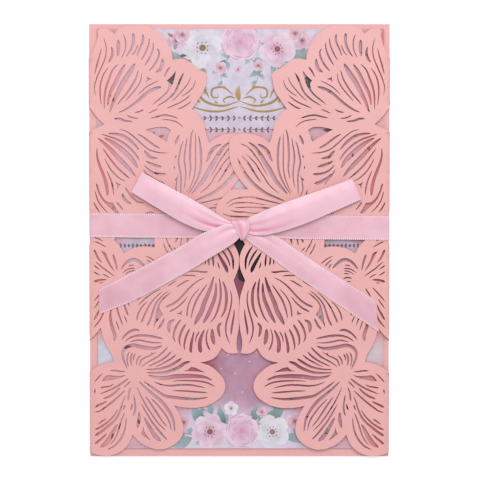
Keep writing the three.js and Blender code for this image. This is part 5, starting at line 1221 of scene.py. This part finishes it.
KNOT_EDGES = [  # from the top down: height up the page, then where the knot's left and right edges are
    (100.6, -2.7, 3.4), (99.6, -3.1, 3.9), (97.5, -1.9, 4.2), (95.1, -1.1, 3.6), (93.0, 0.2, 2.5),
    (92.1, 0.5, 1.9),
]


def raised(v):
    """The object's own height for a height up the page."""
    return v * PAGE_HEIGHT / DRAWN_HEIGHT - PAGE_HEIGHT / 2


def laid_rows(stations, valley=0.5, side_valley=0.2):
    """Rows of points across the ribbon along the stations, and how deep each lies in a crease, which sets its
    painted crease shade.

    One crease runs along the ribbon at valley, from 0 to 1 across it, and a shallow one at side_valley.
    """
    line = smooth_line(stations, ROW_STEP)
    w = np.linspace(0, 1, ACROSS)[None, :]
    x = line[:, 0:1] * (1 - w) + line[:, 2:3] * w
    v = line[:, 1:2] * (1 - w) + line[:, 3:4] * w
    bulge, pleat = np.maximum(line[:, 5:6], 0), np.maximum(line[:, 6:7], 0)
    deep = np.exp(-((w - valley) / 0.09) ** 2) + 0.4 * np.exp(-((w - side_valley) / 0.08) ** 2)
    rims = np.exp(-((w - 0.5 - valley / 2) / 0.16) ** 2) + 0.5 * np.exp(-((w - valley / 2) / 0.2) ** 2)
    fall = np.sin(math.pi * w)
    ripple = 0.035 * np.sin(0.42 * line[:, 0:1] + 3.2 * w) + 0.025 * np.sin(0.93 * line[:, 0:1] - 5.1 * w + 1)
    z = line[:, 4:5] + bulge * (fall - 0.6) + pleat * (0.45 * rims - 0.6 * deep) + ripple
    # depth sets the painted crease shade at each point.
    depth = np.clip(deep, 0, 1) * np.clip(pleat * 1.1 - 0.15, 0, 1)
    return np.stack([x, raised(v), z], axis=2), np.broadcast_to(depth, x.shape)


def ribbon_piece(rows, depth, closed=False):
    """A length of ribbon with both faces from rows of points across it."""
    count, wide = rows.shape[:2]
    along = np.gradient(rows, axis=0)
    if closed:
        along[0] = along[-1] = rows[1] - rows[-2]
    across = np.gradient(rows, axis=1)
    normal = np.cross(along, across)
    normal /= np.maximum(np.linalg.norm(normal, axis=2), 1e-9)[:, :, None]
    half = normal * RIBBON_THICKNESS / 2
    points = np.concatenate([(rows + half).reshape(-1, 3), (rows - half).reshape(-1, 3)])
    lengths = np.concatenate([[0], np.cumsum(np.linalg.norm(np.diff(rows[:, wide // 2], axis=0), axis=1))])
    widths = np.linspace(0, RIBBON_WIDTH, wide)
    uv = np.stack(np.meshgrid(lengths, widths, indexing="ij"), axis=2).reshape(-1, 2)
    index = np.arange(count * wide).reshape(count, wide)
    under = index + count * wide
    faces = []
    for i in range(count - 1):
        for j in range(wide - 1):
            a, b, c, d = index[i, j], index[i + 1, j], index[i + 1, j + 1], index[i, j + 1]
            faces.append((a, b, c, d))
            a, b, c, d = under[i, j], under[i, j + 1], under[i + 1, j + 1], under[i + 1, j]
            faces.append((a, b, c, d))
        faces.append((index[i + 1, 0], index[i, 0], under[i, 0], under[i + 1, 0]))
        faces.append((index[i, -1], index[i + 1, -1], under[i + 1, -1], under[i, -1]))
    if not closed:
        for j in range(wide - 1):
            faces.append((index[0, j], index[0, j + 1], under[0, j + 1], under[0, j]))
            faces.append((index[-1, j + 1], index[-1, j], under[-1, j], under[-1, j + 1]))
    return points, faces, np.concatenate([uv, uv]), np.concatenate([depth.ravel()] * 2)


def tail_piece(stations, valley, side_valley):
    """A tail, from the knot to its cut end."""
    return ribbon_piece(*laid_rows(stations[::-1], valley, side_valley))


def loop_piece(stations, floor, valley, side_valley):
    """A loop: out from the knot above, round its soft end, and back to the knot below."""
    upper, upper_depth = laid_rows(stations[::-1], valley, side_valley)
    lower_stations = [
        (tx + (bx - tx) * 0.06, tv + (bv - tv) * 0.06, bx - (bx - tx) * 0.06, bv - (bv - tv) * 0.06,
         floor + 0.25 * min(1, i / 3), 0.1, 0.0)
        for i, (tx, tv, bx, bv, *_) in enumerate(stations)]
    lower, lower_depth = laid_rows(lower_stations)
    top, bottom = upper[-1], lower[0]
    away = upper[-1] - upper[-4]
    away[:, 2] = 0
    away /= np.linalg.norm(away, axis=1)[:, None]
    bend = []
    for angle in np.linspace(0, math.pi, 9)[1:-1]:
        middle = (top + bottom) / 2 + (top - bottom) / 2 * math.cos(angle)
        bend.append(middle + away * 0.7 * math.sin(angle))
    rows = np.concatenate([upper, np.array(bend), lower])
    depth = np.concatenate([upper_depth, np.zeros((len(bend), ACROSS)), lower_depth])
    return ribbon_piece(rows, depth)


BAND_MIDDLE_LEFT, BAND_MIDDLE_RIGHT = 98.3, 97.1  # up the page, at the page's two sides


def band_piece():
    """The band: once round the jacket, over both folds and behind the back panel."""
    path = []  # across the page and how high, to the right in front and back again behind
    left_z, right_z, back_z = 1.95, 2.62, RIBBON_THICKNESS / 2 + 0.02

    def turn(x, front_z, reach, start):
        middle, bend = (front_z + back_z) / 2, (front_z - back_z) / 2
        for angle in np.linspace(start, start - math.pi, 11):
            path.append((x + reach * math.cos(angle), middle + bend * math.sin(angle)))

    fronts = np.concatenate([np.arange(-61.5, -13, 1.5), np.arange(-13, -9.5, 0.3), np.arange(-9, 61.6, 1.0)])
    for x in fronts:
        path.append((x, left_z + (right_z - left_z) * float(eased(x, -12.3, -10.7))))
    turn(62.15, right_z, 1.2, math.pi / 2)
    path += [(x, back_z) for x in np.arange(60, -61, -4.0)]
    turn(-62.475, left_z, 0.86, -math.pi / 2)
    path.append(path[0])
    w = np.linspace(0, 1, ACROSS)
    rows, depth = [], []
    for x, z in path:
        front = 1.0 if z > 1.2 else 0.0
        share = (x + DRAWN_WIDTH / 2) / DRAWN_WIDTH
        middle = BAND_MIDDLE_LEFT + (BAND_MIDDLE_RIGHT - BAND_MIDDLE_LEFT) * share
        pinch = front * math.exp(-(abs(x - 0.5) / 12.5) ** 2.2)
        half = 5.05 - 2.75 * pinch
        folds = np.sin(2 * math.pi * 3 * w + 0.9)
        lift = front * math.exp(-(abs(x - 0.5) / 15) ** 2) * 0.28
        v = middle + half * (1 - 2 * w)
        ripple = front * 0.05 * (1 + np.sin(0.47 * x + 3.0 * w)) * eased(61.5 - abs(x), 0, 6)
        height = z + ripple + lift * (0.5 + 0.5 * folds)
        rows.append(np.stack([np.full(ACROSS, x), raised(v), height], axis=1))
        # Painted crease shade in the folds where the band is pinched.
        depth.append(np.clip(-folds, 0, 1) * pinch * 0.9)
    return ribbon_piece(np.array(rows), np.array(depth), closed=True)


def knot_piece():
    """The knot: a short length of ribbon pulled tight round the middle of the bow."""
    edges = smooth_line(KNOT_EDGES, 0.4)
    order = np.argsort(edges[:, 0])
    heights, lefts, rights = (edges[order, k] for k in range(3))
    low, high = heights[0], heights[-1]
    middle, half = (low + high) / 2, (high - low) / 2
    w = np.linspace(0, 1, ACROSS)
    rows, depth = [], []
    for angle in np.linspace(0, 2 * math.pi, 49):
        c, s = math.cos(angle), math.sin(angle)
        v = middle + half * math.copysign(abs(c) ** 0.85, c)
        z = 3.95 + 1.25 * math.copysign(abs(s) ** 0.8, s)
        left, right = np.interp(v, heights, lefts), np.interp(v, heights, rights)
        x = left + (right - left) * w
        folds = np.sin(2 * math.pi * 1.4 * w + 1.6 + 0.7 * c)
        swell = np.sin(math.pi * w) ** 0.6
        puff = 0.4 * (swell - 0.6) + 0.10 * folds * swell
        rows.append(np.stack([x, raised(v + c * puff), z + s * puff], axis=1))
        # Painted crease shade: a little all over the knot, more in its folds.
        depth.append(0.15 + np.clip(-folds, 0, 1) * 0.45)
    return ribbon_piece(np.array(rows), np.array(depth), closed=True)


def tied_ribbon(settings):
    """The whole ribbon: its band, tails, loops and knot."""
    parts = [
        band_piece(), tail_piece(LEFT_TAIL, 0.3, 0.75), tail_piece(RIGHT_TAIL, 0.35, 0.8),
        loop_piece(LEFT_LOOP, 2.6, 0.66, 0.3), loop_piece(RIGHT_LOOP, 2.9, 0.8, 0.45), knot_piece(),
    ]
    # How much painted shade each part takes, at its inner and its outer end.
    shade_shares = ((0.75, 0.35), (0.15, 0.75), (0.1, 0.6), (0.0, 0.05), (0.1, 0.05), (0.0, 0.0))
    shade_layers = []
    for (points, _, _, depth), (near, far) in zip(parts, shade_shares):
        shade_share = near + (far - near) * eased(np.abs(points[:, 0]), 8, 58)
        shade_layers.append(np.stack([depth, shade_share], axis=1))
    ribbon = mesh_object("satin_ribbon", *joined(parts), [satin_material(settings)])
    mesh = ribbon.data
    uvs = np.concatenate([part[2] for part in parts])
    corner = np.empty(len(mesh.loops), np.int32)
    mesh.loops.foreach_get("vertex_index", corner)
    mesh.uv_layers.new(name=WEAVE).data.foreach_set("uv", uvs[corner].ravel())
    layer = mesh.color_attributes.new(CREASE_AND_CAST_SHADE, "FLOAT_COLOR", "POINT")
    values = np.ones((len(mesh.vertices), 4))
    values[:, :2] = np.concatenate(shade_layers)
    layer.data.foreach_set("color", values.ravel())
    weld(mesh, RIBBON_WELD)
    mesh.set_sharp_from_angle(angle=math.radians(60))
    return ribbon


# The stage.

AIM = Vector((0.265, 0.482, 1.0)) * MM
FLOOR_HALF = 3.0
FLOOR_HEIGHT = -0.3 * MM
FLOOR_GLOW = 0.45
LAMP_PLACE = (0.08, 0.5, 0.92)
LAMP_SIZE = 0.6


def seen_directly(tree):
    """1 for rays from the camera, off glossy things and through clear ones, and 0 for the rest."""
    rays = add(tree, "ShaderNodeLightPath")
    camera, glossy, clear = (rays.outputs[f"Is {kind} Ray"] for kind in ("Camera", "Glossy", "Transmission"))
    return math_of(tree, "MAXIMUM", camera, math_of(tree, "MAXIMUM", glossy, clear))


def white_floor():
    """A white floor that shows as white and keeps the invitation's shadow."""
    mesh = bpy.data.meshes.new("floor")
    sides = ((-1, -1), (1, -1), (1, 1), (-1, 1))
    mesh.from_pydata([(x * FLOOR_HALF, y * FLOOR_HALF, FLOOR_HEIGHT) for x, y in sides], [], [(0, 1, 2, 3)])
    floor = bpy.data.objects.new("floor", mesh)
    bpy.context.scene.collection.objects.link(floor)
    material, tree, shader, _ = start_material("white_table", Roughness=1.0, Specular_IOR_Level=0.0)
    shader.inputs["Base Color"].default_value = (0.82, 0.82, 0.82, 1)
    strength = math_of(tree, "MULTIPLY", seen_directly(tree), FLOOR_GLOW)
    glow = add(tree, "ShaderNodeEmission", {"Strength": strength})
    both = add(tree, "ShaderNodeAddShader")
    tree.links.new(shader.outputs[0], both.inputs[0])
    tree.links.new(glow.outputs[0], both.inputs[1])
    tree.links.new(both.outputs[0], tree.nodes["Material Output"].inputs["Surface"])
    mesh.materials.append(material)


def soft_lamp(power):
    """A large square lamp beyond the top of the page, aimed at its middle."""
    lamp = bpy.data.lights.new("soft_lamp", "AREA")
    lamp.shape, lamp.size, lamp.energy = "SQUARE", LAMP_SIZE, power
    thing = bpy.data.objects.new("soft_lamp", lamp)
    thing.location = LAMP_PLACE
    thing.rotation_euler = (-Vector(LAMP_PLACE)).to_track_quat("-Z", "Y").to_euler()
    bpy.context.scene.collection.objects.link(thing)


def pale_world(fill):
    """A pale room that gives an even light and looks white."""
    world = bpy.data.worlds.new("pale_room")
    bpy.context.scene.world = world
    world.use_nodes = True
    tree = world.node_tree
    tree.nodes.clear()
    strength = ranged(tree, seen_directly(tree), 0.0, 1.0, fill, 1.0)
    sky = add(tree, "ShaderNodeBackground", {"Color": (1, 1, 1, 1), "Strength": strength})
    out = add(tree, "ShaderNodeOutputWorld")
    tree.links.new(sky.outputs[0], out.inputs["Surface"])


def camera_above(settings):
    """A camera that looks down on the page and leans a little towards its top."""
    camera = bpy.data.cameras.new("camera")
    camera.lens, camera.sensor_width = settings.lens, 36
    camera.clip_start = 0.01
    thing = bpy.data.objects.new("camera", camera)
    away = Vector((0, math.sin(settings.tilt), math.cos(settings.tilt)))
    thing.location = AIM + away * settings.camera_distance
    # Turned about X only, so the page stays upright in the picture.
    thing.rotation_euler = (-settings.tilt, 0, 0)
    bpy.context.scene.collection.objects.link(thing)
    bpy.context.scene.camera = thing


# Settings, operators and panel.

class InvitationJacketSettings(bpy.types.PropertyGroup):
    card_colour: FloatVectorProperty(
        name="Card", description="Colour of the pearly card", default=paint(240, 179, 178),
        subtype="COLOR", size=3, min=0, max=1)
    # The cut edge's colour: the laser's toast, deepened into painted shade for the slits.
    edge_colour: FloatVectorProperty(
        name="Cut edge", description="Colour of the card's laser-cut edges", default=paint(224, 106, 98),
        subtype="COLOR", size=3, min=0, max=1)
    card_thickness: FloatProperty(
        name="Card thickness", description="Thickness of the jacket's card", default=0.35 * MM,
        unit="LENGTH", precision=5)
    lower_flap_top: FloatProperty(
        name="Lower flap", description="Height of the lower flap's upper face", default=1.75 * MM,
        unit="LENGTH", precision=5)
    petal_lift: FloatProperty(
        name="Petal lift", description="How far the free petals stand off the card", default=0.4 * MM,
        unit="LENGTH", precision=5)


class InvitationRibbonSettings(bpy.types.PropertyGroup):
    satin_colour: FloatVectorProperty(
        name="Satin", description="Main colour of the ribbon", default=paint(250, 200, 217),
        subtype="COLOR", size=3, min=0, max=1)
    # The painted shade colour for the parts of the ribbon that lie in shadow.
    satin_shade: FloatVectorProperty(
        name="Cast", description="Duller colour that the ribbon takes in places",
        default=paint(224, 167, 182), subtype="COLOR", size=3, min=0, max=1)
    # The painted shade deep in the ribbon's creases.
    crease_shade_colour: FloatVectorProperty(
        name="Creases", description="Colour deep in the ribbon's creases", default=paint(226, 118, 156),
        subtype="COLOR", size=3, min=0, max=1)
    flat_width: FloatProperty(
        name="Ribbon width", description="Width of the ribbon as it was cut", default=10 * MM,
        unit="LENGTH", precision=4)
    flat_length: FloatProperty(
        name="Ribbon length", description="Length of the ribbon as it was cut", default=616 * MM,
        unit="LENGTH", precision=4)


class InvitationStageSettings(bpy.types.PropertyGroup):
    camera_distance: FloatProperty(
        name="Camera distance", description="From the camera to the middle of the page", default=0.75,
        unit="LENGTH")
    tilt: FloatProperty(
        name="Tilt", description="How far the camera leans towards the top of the page",
        default=math.radians(2.1366), subtype="ANGLE")
    lens: FloatProperty(name="Lens", description="Focal length in millimetres", default=133.0)
    lamp_power: FloatProperty(
        name="Lamp", description="Power of the large soft lamp", default=5.2, unit="POWER")
    fill: FloatProperty(name="Fill", description="Brightness of the pale room", default=0.55)


class INVITATION_OT_jacket(bpy.types.Operator):
    """Cut the lace and fold the jacket round the card"""
    bl_idname = "invitation.jacket"
    bl_label = "Fold Jacket"

    def execute(self, context):
        jacket = folded_jacket(context.scene.invitation_jacket)
        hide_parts("jacket")
        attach(jacket, "root")
        return {"FINISHED"}


class INVITATION_OT_card(bpy.types.Operator):
    """Print the loose card that lies inside the jacket"""
    bl_idname = "invitation.card"
    bl_label = "Print Card"

    def execute(self, context):
        card = printed_card()
        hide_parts("insert_card")
        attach(card, "root")
        return {"FINISHED"}


class INVITATION_OT_ribbon(bpy.types.Operator):
    """Tie the satin ribbon round the jacket"""
    bl_idname = "invitation.ribbon"
    bl_label = "Tie Ribbon"

    def execute(self, context):
        settings = context.scene.invitation_ribbon
        ribbon = tied_ribbon(settings)
        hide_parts("ribbon")
        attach(ribbon, "root")
        return {"FINISHED"}


class INVITATION_OT_stage(bpy.types.Operator):
    """Set up the floor, the light and the camera"""
    bl_idname = "invitation.stage"
    bl_label = "Set Stage"

    def execute(self, context):
        settings = context.scene.invitation_stage
        white_floor()
        soft_lamp(settings.lamp_power)
        pale_world(settings.fill)
        camera_above(settings)
        context.scene.view_settings.view_transform = "Standard"
        return {"FINISHED"}


class INVITATION_PT_panel(bpy.types.Panel):
    bl_label = "Invitation"
    bl_idname = "INVITATION_PT_panel"
    bl_space_type = "VIEW_3D"
    bl_region_type = "UI"
    bl_category = "Invitation"

    def draw(self, context):
        scene = context.scene
        for settings, operators in (
                (scene.invitation_jacket, (INVITATION_OT_jacket, INVITATION_OT_card)),
                (scene.invitation_ribbon, (INVITATION_OT_ribbon,)),
                (scene.invitation_stage, (INVITATION_OT_stage,))):
            box = self.layout.box()
            for name in settings.__annotations__:
                box.prop(settings, name)
            for operator in operators:
                box.operator(operator.bl_idname)


CLASSES = (
    InvitationJacketSettings, InvitationRibbonSettings, InvitationStageSettings,
    INVITATION_OT_jacket, INVITATION_OT_card, INVITATION_OT_ribbon, INVITATION_OT_stage, INVITATION_PT_panel,
)


def register():
    """Adds the classes and their settings to Blender."""
    for cls in CLASSES:
        bpy.utils.register_class(cls)
    bpy.types.Scene.invitation_jacket = PointerProperty(type=InvitationJacketSettings)
    bpy.types.Scene.invitation_ribbon = PointerProperty(type=InvitationRibbonSettings)
    bpy.types.Scene.invitation_stage = PointerProperty(type=InvitationStageSettings)


def unregister():
    """Takes the settings and the classes out again."""
    del bpy.types.Scene.invitation_stage
    del bpy.types.Scene.invitation_ribbon
    del bpy.types.Scene.invitation_jacket
    for cls in reversed(CLASSES):
        bpy.utils.unregister_class(cls)


def main():
    """Builds every piece and the stage."""
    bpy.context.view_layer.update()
    register()
    bpy.ops.invitation.jacket()
    bpy.ops.invitation.card()
    bpy.ops.invitation.ribbon()
    bpy.ops.invitation.stage()


if __name__ == "__main__":
    main()
